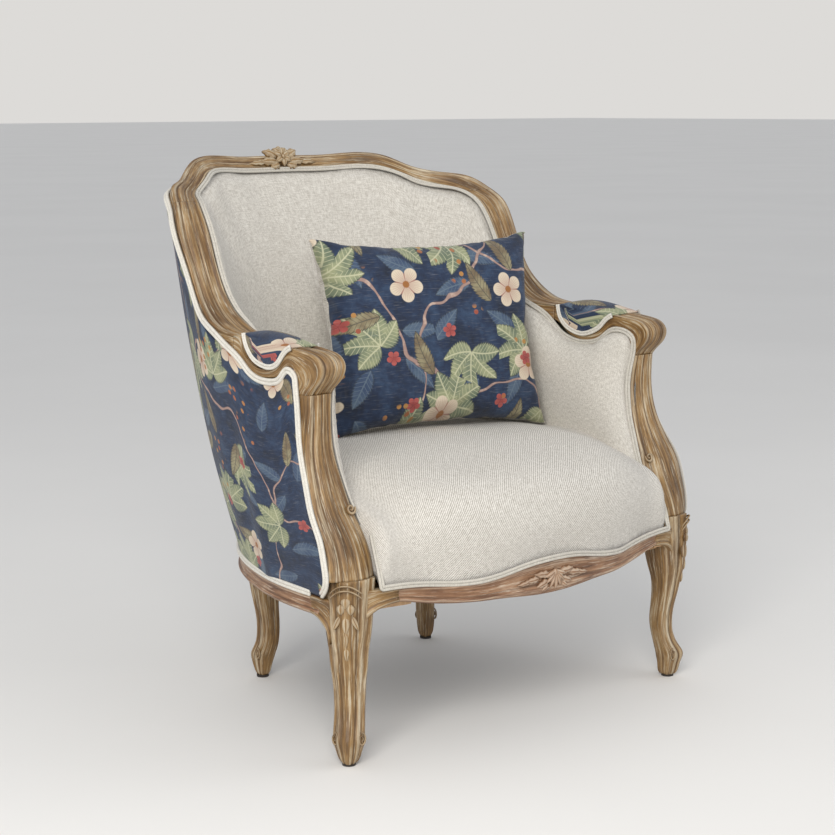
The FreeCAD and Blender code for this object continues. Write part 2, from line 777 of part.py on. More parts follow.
welt_gap = welt_radius + soft_gap
post_line = [(324, -258, 284), (323, -248, 320), (322, -226, 362), (326, -205, 396),
             (331, -178, 440), (333, -160, 488), (334, -154, 540), (333, -164, 592), (333, -158, 616),
             (333, -128, 620), (333, -100, 604), (333, -68, 592), (333, -36, 590), (333, -8, 600)]
inside_welt_points = [at(*point) - vec(welt_radius, 0, 0) for point in post_line]
for index in range(13, -1, -1):
    inside_welt_points.append(off_inner_edge(index, welt_gap + (3 if index > 10 else 2), 3))
inside_welt = tube(whole_width(inside_welt_points), welt_radius)

# The welt round the outside cover: up behind the post, under the arm, up the stile and
# over the back of the crest, and along the rail at the bottom.
post_rear_line = [(405, -221, 282), (405, -214, 330), (404, -195, 376), (402, -174, 420),
                  (398, -152, 470), (396, -138, 520), (396, -134, 566), (396, -130, 600)]
outside_welt_points = [at(*point) for point in post_rear_line]
outside_welt_points += [side_point(point, cover_x + welt_gap) for point in
                        ((-112, 617), (-88, 606), (-58, 602), (-26, 606), (0, 620))]
for index, off, deep in ((13, 8, 15), (12, 11, 1), (11, 13, 0), (10, 12, 0), (9, 13.5, 0), (8, 14.5, 0),
                         (7, 14, 3), (6, 14, 12), (5, 13, 28), (4, 6, 41)):
    outside_welt_points.append(off_outer_edge(index, off, deep))
for index in (3, 2, 1, 0):
    outside_welt_points.append(behind_ribbon(index, 0.5, cover_off + welt_gap + 5))
outside_welt = tube(whole_width(outside_welt_points), welt_radius)

rail_welt_points = []
for index in range(15):
    share = 0.004 + 0.496 * index / 14
    point, normal = rail_plan_at(share)
    rail_welt_points.append(point + normal * (welt_gap + 3 - cover_inset) + vec(0, 0, cover_edge_z + welt_gap))
rail_welt = tube(whole_width(rail_welt_points), welt_radius)

seat_front_line = [(310, -268), (272, -273), (236, -281), (200, -293), (160, -304), (110, -311), (55, -315),
                   (0, -317)]
seat_welt_points = []
for x, y in seat_front_line:
    seat_welt_points.append(at(x, y) + vec(0, -welt_gap, seat_edge_z + welt_gap))
seat_welt = tube(whole_width(seat_welt_points), welt_radius)

pad_welt_route = [(13, 652), (4, 634), (-14, 619), (-40, 612), (-66, 614), (-88, 624), (-105, 638), (-113, 646)]


def pad_welt(x):
    return tube([side_point(point, x, 1) for point in pad_welt_route], pad_welt_radius)


arm_pad_welts = Part.makeCompound([pad_welt(arm_inner_x - pad_welt_radius - 1.4),
                                   pad_welt(arm_outer_x + pad_welt_radius + 1.4)])

# Feet
glides = []
for place in (front_leg_place, rear_leg_place):
    glide = Part.makeCylinder(glide_radius, floor_glide_height, place)
    glides += [glide, mirrored(glide)]
foot_glides = Part.makeCompound(glides)


# Screws go through the blocks' long faces into the legs and rails.
def screw(face_point, direction):
    shank = Part.makeCylinder(screw_radius, screw_length, face_point, direction)
    head = Part.makeCylinder(screw_head_radius, screw_head_height, face_point - direction * screw_head_height,
                             direction)
    return shank.fuse(head).removeSplitter()


def block_screws(corner, toward_y, length):
    """Two screws square to the long face of a corner block, side by side."""
    z = rail_top_z - block_height / 2
    face_middle = vec(corner[0] - length / 2, corner[1] + toward_y * length / 2, z)
    into = vec(1, -toward_y, 0).normalize()
    along_face = vec(-into.y, into.x, 0)
    return [screw(face_middle + along_face * screw_spread * side, into) for side in (-1, 1)]


right_screws = (block_screws(front_corner, 1, front_block_length)
                + block_screws(rear_corner, -1, rear_block_length))


# Dowels hold the show-wood joints. Each is its middle and its direction.
def dowel(middle, direction, length):
    direction = direction.normalize()
    return Part.makeCylinder(dowel_radius, length, middle - direction * length / 2, direction)


arm_dowel_x = (arm_inner_x + arm_outer_x) / 2
shoulder_inner, shoulder_outer = ribbon_pairs[crest_last + 1]
shoulder_back = whole_backs[crest_last + 1]
shoulder_middle = (shoulder_inner + shoulder_outer) * 0.5 + shoulder_back * stile_thickness / 2
shoulder_along = (shoulder_outer - shoulder_inner).cross(shoulder_back)
joint_point, joint_normal = rail_plan_at(rear_joint_share)
joint_along = vec(-joint_normal.y, joint_normal.x, 0)
rail_mid_z = rail_bottom_z + rail_show_height / 2
rail_dowel_inset = rail_thickness * 0.6
post_middle_y = (post_front_y + post_rear_y) / 2
knee_dowel_place = front_leg_place + vec(-2, 14, knee_top_z)
front_rail_dowel_place = front_leg_place + vec(-42, -16, rail_mid_z)
side_rail_dowel_place = vec(frame_half_width - rail_dowel_inset, front_leg_place.y + 30, rail_mid_z)
rear_leg_dowel_place = rear_leg_place + vec(-6, -6, rail_bottom_z)
right_dowels = [dowel(knee_dowel_place, vec(0, 0, 1), dowel_length),
                dowel(vec(arm_dowel_x, post_middle_y, arm_joint_z), vec(0, 0, 1), dowel_length),
                dowel(vec(arm_dowel_x, stile_end_y, arm_top_z - stile_thickness / 2), vec(0, 1, 0),
                      short_dowel_length),
                dowel(shoulder_middle, shoulder_along, short_dowel_length),
                dowel(front_rail_dowel_place, vec(1, 0, 0), dowel_length),
                dowel(side_rail_dowel_place, vec(0, 1, 0), dowel_length),
                dowel(joint_point - joint_normal * rail_dowel_inset + vec(0, 0, rail_mid_z), joint_along,
                      dowel_length),
                dowel(rear_leg_dowel_place, vec(0, 0, 1), dowel_length)]


def bored(shape, tools):
    for tool in tools:
        if shape.BoundBox.intersect(tool.BoundBox):
            shape = shape.cut(tool)
    return largest(shape)


right_bores = right_dowels + right_screws
left_bores = [mirrored(tool) for tool in right_bores]
front_leg = bored(front_leg, right_bores)
rear_leg = bored(rear_leg, right_bores)
arm_post = bored(arm_post, right_bores)
arm_rail = bored(arm_rail, right_bores)
back_stile = bored(back_stile, right_bores)
side_rail = bored(side_rail, right_bores)
front_block = bored(front_block, right_bores)
rear_block = bored(rear_block, right_bores)
crest_rail = bored(crest_rail, right_bores + left_bores)
front_rail = bored(front_rail, right_bores + left_bores)
back_rail = bored(back_rail, right_bores + left_bores)

# Springs lie on the rails from front to back and are held by clips.
wire_z = rail_top_z + clip_height / 2


def zigzag_spring(x, front_y, rear_y):
    """A flat zigzag wire: straight runs across the seat joined by half turns."""
    turn_radius = spring_loop_pitch / 4
    reach = spring_loop_half_width - turn_radius
    count = int((rear_y - front_y - 2 * spring_lead) / (2 * turn_radius))
    spare = rear_y - front_y - count * 2 * turn_radius
    y = front_y + spare / 2
    side = 1
    start = vec(x, front_y, wire_z)
    path = [line(start, vec(x, y - turn_radius, wire_z)),
            arc(vec(x, y - turn_radius, wire_z),
                vec(x + turn_radius * (1 - math.cos(math.pi / 4)), y - turn_radius * (1 - math.sin(math.pi / 4)),
                    wire_z), vec(x + turn_radius, y, wire_z))]
    here = vec(x + turn_radius, y, wire_z)
    for index in range(count):
        corner = vec(x + side * reach, y, wire_z)
        path.append(line(here, corner))
        outer = vec(x + side * (reach + turn_radius), y + turn_radius, wire_z)
        diagonal = turn_radius * math.sin(math.pi / 4)
        rise = turn_radius * (1 - math.cos(math.pi / 4))
        path.append(arc(corner, vec(corner.x + side * diagonal, y + rise, wire_z), outer))
        here = vec(x + side * reach, y + 2 * turn_radius, wire_z)
        path.append(arc(outer, vec(corner.x + side * diagonal, y + 2 * turn_radius - rise, wire_z), here))
        y += 2 * turn_radius
        side = -side
    bend = vec(x - side * -turn_radius, y, wire_z)
    path.append(line(here, bend))
    path.append(arc(bend, vec(x + side * turn_radius * (1 - math.cos(math.pi / 4)),
                              y + turn_radius * (1 - math.sin(math.pi / 4)), wire_z),
                    vec(x, y + turn_radius, wire_z)))
    path.append(line(vec(x, y + turn_radius, wire_z), vec(x, rear_y, wire_z)))
    wire = Part.Wire(path)
    profile = Part.Wire([Part.Circle(start, vec(0, 1, 0), spring_wire_radius).toShape()])
    shell = Part.BRepOffsetAPI.MakePipeShell(wire)
    shell.add(profile)
    shell.build()
    shell.makeSolid()
    return shell.shape()


def spring_ends(x):
    plan = [at(*point) for point in front_rail_plan]
    for a, b in zip(plan, plan[1:]):
        if a.x <= abs(x) <= b.x:
            front_y = a.y + (b.y - a.y) * (abs(x) - a.x) / (b.x - a.x)
    low, high = 0.0, 0.5
    for step in range(40):
        middle = (low + high) / 2
        if rail_plan_at(middle)[0].x > abs(x):
            low = middle
        else:
            high = middle
    rear_point, rear_normal = rail_plan_at(low)
    rear_y = rear_point.y - (rail_rebate + clip_length) / max(rear_normal.y, 0.5)
    return front_y + rail_thickness - clip_length - 1, rear_y + clip_length / 2


springs = []
clips = []
beside_upright = (upright_width + clip_width) / 2
outer_spring = width(spring_spacing * (spring_count - 1) / 2 + beside_upright) - beside_upright
for index in range(spring_count):
    x = (2 * index / (spring_count - 1) - 1) * outer_spring
    front_end, rear_end = spring_ends(x)
    spring = zigzag_spring(x, front_end + 3, rear_end - 3)
    springs.append(spring)
    for y in (front_end, rear_end - clip_length):
        clip = Part.makeBox(clip_width, clip_length, clip_height, vec(x - clip_width / 2, y, rail_top_z))
        clips.append(clip.cut(spring).Solids[0])
seat_springs = Part.makeCompound(springs)
spring_clips = Part.makeCompound(clips)

# Hessian over the springs and the dust cloth under the rails.
def seat_outline(z, inset):
    front = []
    rear = []
    for station in seat_stations:
        x = width(station[0]) - (inset if station == seat_stations[-1] else 0)
        front.append(vec(x, depth(station[1]) + inset, z))
        rear.append(vec(x, depth(station[6][0]) - inset, z))
    points = front + list(reversed(rear))
    left = [vec(-p.x, p.y, p.z) for p in reversed(points) if p.x > 0.01]
    outline = points + left
    return Part.Face(Part.makePolygon(outline + [outline[0]]))


hessian = seat_outline(hessian_z, hessian_inset).extrude(vec(0, 0, hessian_thickness))
dust_cloth = seat_outline(rail_bottom_z - dust_cloth_thickness, dust_cloth_inset)
dust_cloth = dust_cloth.extrude(vec(0, 0, dust_cloth_thickness))
for leg in (front_leg, mirrored(front_leg), rear_leg, mirrored(rear_leg)):
    dust_cloth = dust_cloth.cut(leg)
dust_cloth = largest(dust_cloth)

# Loose cushion: sections parallel to its face, from the rear crown to the front crown.
cushion_layers = [(-1.0, 0.30, 0.0), (-0.80, 0.66, 0.2), (-0.45, 0.90, 0.6), (0.0, 1.0, 1.0),
                  (0.45, 0.90, 0.6), (0.80, 0.66, 0.2), (1.0, 0.30, 0.0)]


def cushion_outline(level, share, drawn, inset):
    """A square outline whose sides are drawn in and whose corners are small rounds."""
    half_x = cushion_width / 2 * share - inset
    half_z = cushion_height / 2 * share - inset
    depth = level * (cushion_thickness / 2 - inset)
    round_off = cushion_corner_radius
    sag = cushion_drawn_in * drawn - (1 - drawn) * 8 * share
    corners = [(1, 1), (-1, 1), (-1, -1), (1, -1)]
    edges = []
    ends = []
    for sx, sz in corners:
        corner_x = vec(sx * half_x, depth, sz * (half_z - round_off))
        corner_z = vec(sx * (half_x - round_off), depth, sz * half_z)
        ends.append((corner_x, corner_z, sx, sz))
    for index, (corner_x, corner_z, sx, sz) in enumerate(ends):
        first, last = (corner_x, corner_z) if index % 2 == 0 else (corner_z, corner_x)
        nose = vec(sx * (half_x - round_off * 0.28), depth, sz * (half_z - round_off * 0.28))
        edges.append(arc(first, nose, last))
        next_x, next_z, nx, nz = ends[(index + 1) % 4]
        to = next_z if index % 2 == 0 else next_x
        middle = (last + to) * 0.5
        if index % 2 == 0:
            middle = middle - vec(0, 0, sz * sag)
        else:
            middle = middle - vec(sx * sag, 0, 0)
        edges.append(arc(last, middle, to))
    return Part.Wire(edges)


def placed(shape):
    turned = shape.copy()
    turned.rotate(vec(0, 0, 0), vec(1, 0, 0), -cushion_lean)
    turned.rotate(vec(0, 0, 0), vec(0, 0, 1), cushion_turn)
    turned.translate(vec(cushion_off_centre, cushion_back_y, seat_crown_z + cushion_above_seat))
    return turned


def cushion_body(inset):
    return loft([cushion_outline(level, share, drawn, inset) for level, share, drawn in cushion_layers])


cushion = cushion_body(0)
filling = cushion_body(filling_inset)
shell = cushion.cut(filling)
front_half = Part.makeBox(1000, 500, 1000, vec(-500, -500, -500))
cushion_front = placed(largest(shell.common(front_half)))
cushion_back = placed(largest(shell.cut(front_half)))
cushion_filling = placed(filling)

# The carving stands furthest forward and the back's welt furthest behind.
front_most_y = apron_carving.optimalBoundingBox(False, False).YMin
rear_most_y = outside_welt.optimalBoundingBox(False, False).YMax
middle_y = (front_most_y + rear_most_y) / 2
print("moved back to front by", round(-middle_y, 3))
os.makedirs("parts", exist_ok=True)
save_pair("front_leg", front_leg)
save_pair("rear_leg", rear_leg)
save_pair("arm_post", arm_post)
save_pair("arm_rail", arm_rail)
save_pair("back_stile", back_stile)
save_pair("side_rail", side_rail)
save_pair("back_upright", back_upright)
save_pair("arm_tacking_rail", arm_tacking_rail)
save_pair("front_corner_block", front_block)
save_pair("rear_corner_block", rear_block)
save_pair("outside_arm_cover", outside_arm_cover)
save_pair("inside_arm_cover", inside_arm_cover)
save_pair("inside_arm_padding", inside_arm_padding)
save_pair("arm_pad", arm_pad)
save_pair("arm_pad_welt", arm_pad_welts)
save("crest_rail", crest_rail)
save("crest_carving", crest_carving)
save("front_rail", front_rail)
save("apron_carving", apron_carving)
save("back_rail", back_rail)
save("back_tacking_rail", back_tacking_rail)
save("block_screws", Part.makeCompound(right_screws + [mirrored(item) for item in right_screws]))
save("frame_dowels", Part.makeCompound(right_dowels + [mirrored(item) for item in right_dowels]))
save("seat_springs", seat_springs)
save("spring_clips", spring_clips)
save("hessian", hessian)
save("seat_padding", seat_padding)
save("seat_cover", seat_cover)
save("dust_cloth", dust_cloth)
save("inside_back_padding", inside_back_padding)
save("inside_back_cover", inside_back_cover)
save("outside_back_cover", outside_back_cover)
save("inside_welt", inside_welt)
save("outside_welt", outside_welt)
save("rail_welt", rail_welt)
save("seat_welt", seat_welt)
save("foot_glides", foot_glides)
save("cushion_front", cushion_front)
save("cushion_back", cushion_back)
save("cushion_filling", cushion_filling)
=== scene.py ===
import bmesh
import bpy
import json
import math
import numpy as np
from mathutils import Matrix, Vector


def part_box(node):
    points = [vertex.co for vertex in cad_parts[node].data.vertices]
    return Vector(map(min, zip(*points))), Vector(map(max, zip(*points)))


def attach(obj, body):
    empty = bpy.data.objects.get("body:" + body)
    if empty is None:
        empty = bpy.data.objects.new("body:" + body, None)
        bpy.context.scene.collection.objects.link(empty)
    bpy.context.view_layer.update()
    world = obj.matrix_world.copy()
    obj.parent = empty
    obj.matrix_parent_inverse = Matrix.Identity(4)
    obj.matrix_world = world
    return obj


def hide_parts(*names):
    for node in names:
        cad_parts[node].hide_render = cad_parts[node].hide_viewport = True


# A tub-shaped show-wood armchair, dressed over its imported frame. The stations below are in
# millimetres, drawn as the frame's source draws them, and metres() puts them in place.
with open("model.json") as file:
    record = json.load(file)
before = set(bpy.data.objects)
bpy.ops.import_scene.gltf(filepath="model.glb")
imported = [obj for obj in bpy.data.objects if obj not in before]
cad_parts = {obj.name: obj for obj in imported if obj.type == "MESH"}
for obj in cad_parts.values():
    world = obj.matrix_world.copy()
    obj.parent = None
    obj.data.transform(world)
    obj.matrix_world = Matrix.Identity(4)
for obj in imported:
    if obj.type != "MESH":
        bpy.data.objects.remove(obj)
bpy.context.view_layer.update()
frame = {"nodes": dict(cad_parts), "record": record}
drawn_front = -318.0
shift_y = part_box("front_rail")[0][1] - drawn_front / 1000.0
scene = bpy.context.scene


def new_object(name, data):
    obj = bpy.data.objects.new(name, data)
    scene.collection.objects.link(obj)
    return obj


def metres(points):
    """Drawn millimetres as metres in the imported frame."""
    return np.asarray(points, float) / 1000.0 + (0.0, shift_y, 0.0)


def unit(vectors):
    vectors = np.asarray(vectors, float)
    length = np.linalg.norm(vectors, axis=-1, keepdims=True)
    return vectors / np.maximum(length, 1e-9)


def mix(a, b, share):
    return a + (b - a) * share


def soft_step(value, low, high):
    share = np.clip((value - low) / (high - low), 0.0, 1.0)
    return share * share * (3 - 2 * share)


def spline(points, count):
    """A smooth curve through points, or through whole rows of points, as count samples."""
    points = np.asarray(points, float)
    flat = points.reshape(len(points), -1)
    steps = np.linalg.norm(np.diff(flat, axis=0), axis=1)
    t = np.concatenate([[0.0], np.cumsum(np.maximum(steps, 1e-6))])
    n = len(t)
    h = np.diff(t)
    system = np.zeros((n, n))
    right = np.zeros((n, flat.shape[1]))
    system[0, 0] = system[-1, -1] = 1.0
    for i in range(1, n - 1):
        system[i, i - 1:i + 2] = h[i - 1], 2 * (h[i - 1] + h[i]), h[i]
        right[i] = 6 * ((flat[i + 1] - flat[i]) / h[i] - (flat[i] - flat[i - 1]) / h[i - 1])
    bend = np.linalg.solve(system, right)
    samples = np.linspace(0, t[-1], count)
    span = np.clip(np.searchsorted(t, samples) - 1, 0, n - 2)
    a = ((t[span + 1] - samples) / h[span])[:, None]
    b = 1 - a
    curved = (a ** 3 - a) * bend[span] + (b ** 3 - b) * bend[span + 1]
    result = a * flat[span] + b * flat[span + 1] + curved * (h[span][:, None] ** 2) / 6
    return result.reshape((count,) + points.shape[1:])


def even(points, spacing):
    """The same curve, sampled at even steps."""
    dense = spline(points, 40 * len(points))
    length = np.concatenate([[0], np.cumsum(np.linalg.norm(np.diff(dense, axis=0), axis=1))])
    count = max(int(length[-1] / spacing) + 1, 4)
    wanted = np.linspace(0, length[-1], count)
    return np.stack([np.interp(wanted, length, dense[:, k]) for k in range(dense.shape[1])], axis=1)


def mirror(points):
    return np.asarray(points, float) * (-1.0, 1.0, 1.0)


def make_piece(name, points, faces, material, uv, painted_light):
    """A smooth-shaded mesh object with its place in its mesh."""
    mesh = bpy.data.meshes.new(name)
    mesh.from_pydata(metres(points).tolist(), [], faces)
    mesh.uv_layers.new(name="cloth").data.foreach_set("uv", np.asarray(uv, float).ravel())
    mesh.attributes.new("painted_light", "FLOAT", "POINT").data.foreach_set("value", np.asarray(painted_light, float))
    mesh.polygons.foreach_set("use_smooth", [True] * len(mesh.polygons))
    mesh.materials.append(material)
    work = bmesh.new()
    work.from_mesh(mesh)
    bmesh.ops.recalc_face_normals(work, faces=work.faces)
    work.to_mesh(mesh)
    work.free()
    return new_object(name, mesh)


def lengths(rows):
    """How far each row lies along the rows, as the mean over its points."""
    steps = np.linalg.norm(np.diff(rows, axis=0), axis=-1)
    return np.concatenate([[0.0], np.cumsum(steps.reshape(len(rows) - 1, -1).mean(axis=1))])


def grid_parts(rings, painted_light=0.5):
    """Points, faces, UVs in metres and painted light of closed rings in a row, capped at both ends."""
    rings = np.asarray(rings, float)
    m, n = rings.shape[:2]
    painted_light = np.broadcast_to(np.asarray(painted_light, float), (m, n))
    along = lengths(rings) / 1000.0
    looped = np.concatenate([rings, rings[:, :1]], axis=1)
    around = lengths(np.swapaxes(looped, 0, 1)) / 1000.0
    faces = []
    uv = []
    for i in range(m - 1):
        for j in range(n):
            k = (j + 1) % n
            faces.append((i * n + j, i * n + k, (i + 1) * n + k, (i + 1) * n + j))
            uv += [(along[i], around[j]), (along[i], around[j + 1]),
                   (along[i + 1], around[j + 1]), (along[i + 1], around[j])]
    for i, order in ((0, range(n - 1, -1, -1)), (m - 1, range(n))):
        faces.append(tuple(i * n + j for j in order))
        uv += [(along[i], around[j]) for j in order]
    return rings.reshape(-1, 3), faces, uv, painted_light.ravel()


def joined(name, parts, material):
    """One mesh from several grids."""
    points, faces, uv, painted_light = [], [], [], []
    for part_points, part_faces, part_uv, part_painted_light in parts:
        start = sum(len(rows) for rows in points)
        points.append(part_points)
        faces += [tuple(start + k for k in face) for face in part_faces]
        uv += part_uv
        painted_light.append(part_painted_light)
    return make_piece(name, np.concatenate(points), faces, material, uv, np.concatenate(painted_light))


def on_chair(piece, slot_name, *nodes):
    """The piece rides on the chair and stands for these CAD nodes."""
    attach(piece, "chair")
    if nodes:
        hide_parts(*nodes)


def dressed_pair(name, parts, material, slot_name, node):
    """A right piece from grids and its mirror image, in the places of their CAD nodes."""
    mirrored = [(mirror(points), *rest) for points, *rest in parts]
    right = joined(name + "_right", parts, material)
    left = joined(name + "_left", mirrored, material)
    on_chair(right, slot_name, node + "_right")
    on_chair(left, slot_name, node + "_left")
    return right, left


# Show-wood. Each profile gives, across a face from its inner to its outer edge, how far the
# moulding stands out in millimetres and its painted light: 0 painted shade in a groove, 1 painted highlight
# on a ridge.
reeds = [(0.0, -1.6, 0.6), (0.02, 0.2, 0.9), (0.06, 1.3, 1.0), (0.11, 1.2, 0.75), (0.145, -0.6, 0.15),
         (0.17, -1.8, 0.05), (0.22, -2.0, 0.4), (0.29, -1.5, 0.5), (0.36, -0.2, 0.6), (0.385, 1.0, 0.95),
         (0.42, 1.1, 0.85), (0.445, -0.8, 0.1), (0.47, -0.9, 0.1), (0.50, 1.2, 0.85), (0.56, 2.5, 0.7),
         (0.62, 3.0, 0.75), (0.68, 2.6, 0.85), (0.73, 1.2, 0.6), (0.755, -0.8, 0.05), (0.785, -0.7, 0.15),
         (0.81, 1.1, 0.9), (0.86, 1.9, 1.0), (0.92, 1.7, 0.8), (0.97, 0.7, 0.7), (1.0, -1.4, 0.5)]
plain_side = [(0.04, 0.5), (0.12, 0.45), (0.5, 0.4), (0.88, 0.4), (0.96, 0.5)]
full_width = 58.0


def moulded_rings(stations, count):
    """Rings from stations of face-inner, face-outer, back-outer and back-inner corners."""
    corners = spline(stations, count)
    face_in, face_out, back_out, back_in = [corners[:, k] for k in range(4)]
    normal = unit((face_in + face_out) / 2 - (back_in + back_out) / 2)
    wide = np.linalg.norm(face_out - face_in, axis=1, keepdims=True)
    scale = np.clip(wide / full_width, 0.35, 1.0)
    columns = [mix(face_in, face_out, share) + normal * rise * scale for share, rise, lit_share in reeds]
    for start, end in ((face_out, back_out), (back_out, back_in), (back_in, face_in)):
        columns += [mix(start, end, share) for share, lit_share in plain_side]
    # Painted light per column: painted shade in the reeds' grooves, painted highlight on their ridges,
    # middling on the plain sides.
    painted_light = [lit_share for share, rise, lit_share in reeds] + [lit_share for share, lit_share in plain_side] * 3
    return np.stack(columns, axis=1), painted_light


crest_stations = [((0, 418, 907), (0, 430, 930)), ((100, 411, 907), (104, 424, 930)),
                  ((195, 374, 905), (222, 388, 926)), ((228, 344, 891), (266, 354, 904)),
                  ((258, 321, 876), (312, 302, 893)), ((281, 291, 868), (343, 272, 885)),
                  ((299, 256, 861), (364, 234, 861))]
stile_stations = [((299, 256, 861), (364, 234, 861)), ((312, 226, 846), (374, 214, 843)),
                  ((318, 198, 813), (380, 197, 811)), ((321, 173, 763), (379, 174, 763)),
                  ((321, 147, 714), (380, 149, 716)), ((318, 122, 683), (385, 121, 687)),
                  ((318, 78, 661), (389, 80, 664)), ((333, 30, 656), (389, 30, 656))]
shoulder = len(crest_stations) - 1
wood_depth = 28.0
wood_taper = 16.0


def ribbon_frame():
    """Edges and inward directions along the right half, from the crest's middle to the arm."""
    edges = np.array(crest_stations[:-1] + stile_stations, float)
    middles = edges.mean(axis=1)
    run = np.gradient(middles, axis=0)
    run[1:-1] = middles[2:] - middles[:-2]
    inward = unit(np.cross(run, edges[:, 1] - edges[:, 0]))
    flip = inward[:, 1] * 0.9 - inward[:, 2] * 0.4 < 0
    inward[flip] *= -1
    inward[0] = unit([0, inward[0, 1], inward[0, 2]])
    inward[-1] = (0, 0, -1)
    return edges, inward


edge_pairs, into_wood = ribbon_frame()


def ribbon_stations(first, last):
    """Four corners at each station: the face's two edges and the two behind them."""
    tapers = np.full(len(edge_pairs), wood_taper)
    tapers[-2:] = wood_taper / 2, 0.0
    result = []
    for i in range(first, last):
        inner, outer = edge_pairs[i]
        deep = into_wood[i] * wood_depth
        back_outer = outer + deep + unit(inner - outer) * tapers[i]
        result.append((inner, outer, back_outer, inner + deep))
    return result


def build_crest_and_stiles(material):
    right = ribbon_stations(0, shoulder + 1)
    left = [[mirror(corner) for corner in station] for station in reversed(right[1:])]
    crest = joined("crest_rail_reeded", [grid_parts(*moulded_rings(left + right, 170))], material)
    on_chair(crest, "limed_oak", "crest_rail")
    stile = grid_parts(*moulded_rings(ribbon_stations(shoulder, len(edge_pairs)), 80))
    dressed_pair("back_stile_reeded", [stile], material, "limed_oak", "back_stile")


block_top = 345.0
# The arm in side view: face and underside, as y and z, with the inner and outer x of the face.
arm_stations = [((30, 656), (30, 628), 333, 389), ((20, 655.5), (15, 623), 333, 389),
                ((11.5, 652), (4, 615), 333, 389), ((4, 637), (-5, 608), 333, 389),
                ((-12, 621), (-20, 601.5), 333, 389), ((-30, 613.5), (-34, 598), 333, 389),
                ((-50, 611), (-52, 596.5), 333, 389), ((-70, 614.5), (-71, 598), 333, 389),
                ((-86, 622.5), (-88, 601), 333, 389), ((-98, 633), (-100, 607), 333, 389),
                ((-106, 642), (-109, 613), 333, 389), ((-117, 647.5), (-117, 618), 333, 389),
                ((-131, 648), (-125, 618), 333, 389), ((-150, 646.5), (-130, 611), 334, 389),
                ((-172, 644), (-131, 603), 335, 389), ((-190, 638), (-131, 596), 336, 389),
                ((-200, 626), (-131, 591), 337, 389), ((-197, 611), (-131, 587), 338, 389),
                ((-186, 598), (-130.5, 584), 339, 388.5), ((-175, 588), (-130, 582), 340, 388),
                ((-168, 580), (-130, 580), 341, 388)]
post_stations = [(300, (324, -250), (405, -240), (396, -205), (332, -205), 14),
                 (330, (322, -240), (405, -236), (394, -200), (332, -200), 10),
                 (364, (322, -221), (406, -226), (393, -190), (334, -190), 7),
                 (396, (327, -202), (409, -211), (392, -175), (338, -172), 5),
                 (440, (332, -182), (402, -186), (391, -155), (343, -150), 4),
                 (490, (336, -165), (394, -168), (389, -135), (346, -132), 4),
                 (540, (338, -162), (388, -166), (387, -130), (346, -128), 4),
                 (580, (341, -168), (388, -168), (388, -130), (346, -130), 4)]


def build_arms(material):
    stations = [[(x_in, *face), (x_out, *face), (x_out, *under), (x_in, *under)]
                for face, under, x_in, x_out in arm_stations]
    arm = grid_parts(*moulded_rings(stations, 90))
    dressed_pair("arm_rail_reeded", [arm], material, "limed_oak", "arm_rail")
    stations = [[(*corner, z) for corner in corners] for z, *corners, swell in reversed(post_stations)]
    rings, painted_light = moulded_rings(stations, 90)
    # The face swells forward, and its reeds run out into a smooth block above the leg.
    swells = spline([[station[-1]] for station in reversed(post_stations)], 90)
    shares = np.array([share for share, rise, lit_share in reeds])
    bow = swells * (1 - (2 * shares - 1) ** 2)
    face = rings[:, :len(reeds)]
    face[:, :, 1] -= bow * 0.8
    flat = mix(face[:, :1], face[:, -1:], shares[None, :, None])
    flat[:, :, 1] -= bow
    reeded = soft_step(rings[:, :1, 2], block_top - 45, block_top)
    face[:] = mix(flat, face, reeded[:, :, None])
    parts = [grid_parts(rings, painted_light), post_volute()]
    dressed_pair("arm_post_reeded", parts, material, "limed_oak", "arm_post")


# Legs: height, reach out and in along the diagonal, half width across it.
front_leg_stations = [(4, 14.5, 16, 12.5), (8, 17.5, 18.5, 15.5), (25, 22.5, 21, 21.5),
                      (36, 26.5, 23.5, 24.6), (44, 27, 25, 25.3), (53, 22.5, 27, 25.3),
                      (62, 16.4, 29, 25), (80, 8.9, 33, 24.5),
                      (103, 6.7, 36.4, 25), (131, 9.7, 35, 26.6), (159, 16.3, 33.8, 29.8),
                      (183, 21.2, 36, 31.5), (203, 26, 42, 34.5), (238, 29, 50, 38), (270, 30, 54, 40),
                      (300, 29, 56, 42)]
rear_leg_stations = [(4, 10, 12, 10), (8, 12.5, 14.5, 12.5), (22, 17.5, 19, 16), (34, 20.5, 23, 17.2),
                     (43, 21, 26, 17.5), (52, 17.5, 29, 17.8), (62, 13, 31.5, 18), (86, 9.4, 34, 18.5),
                     (114, 10.8, 33.9, 20), (142, 16, 33.5, 22), (169, 21, 36, 24), (205, 27, 40, 27),
                     (238, 31, 44, 30)]
# A leg's outline in shares: along the diagonal from the corner to the middle of the far
# corner, across it, and the painted light: painted shade in the grooves, painted highlight on the beads. The
# corner is a round panel between two beads.
leg_outline = [(0.0, 0.0, 0.8), (0.015, 0.12, 0.75), (0.06, 0.26, 0.6), (0.12, 0.36, 0.35),
               (0.19, 0.42, 0.05), (0.205, 0.50, 0.2), (0.19, 0.58, 0.9), (0.25, 0.70, 1.0),
               (0.34, 0.78, 0.8), (0.40, 0.83, 0.15), (0.42, 0.90, 0.7), (0.46, 0.97, 0.9),
               (0.51, 1.0, 0.8), (0.56, 0.96, 0.6), (0.68, 0.66, 0.4), (0.82, 0.36, 0.4), (0.95, 0.08, 0.5)]


def leg_part(place, turn, stations, count):
    """A cabriole leg. Its corner points along (1, turn) in plan."""
    along = unit([1.0, turn])
    across = np.array([-along[1], along[0]])
    outline = leg_outline + [(d, -c, w) for d, c, w in reversed(leg_outline[1:])]
    rings = []
    for z, out, inward, wide in spline(stations, count):
        plan = [np.array(place) + along * mix(out, -inward, d) + across * c * wide for d, c, w in outline]
        rings.append([(x, y, z) for x, y in plan])
    return grid_parts(rings, [w for d, c, w in outline])


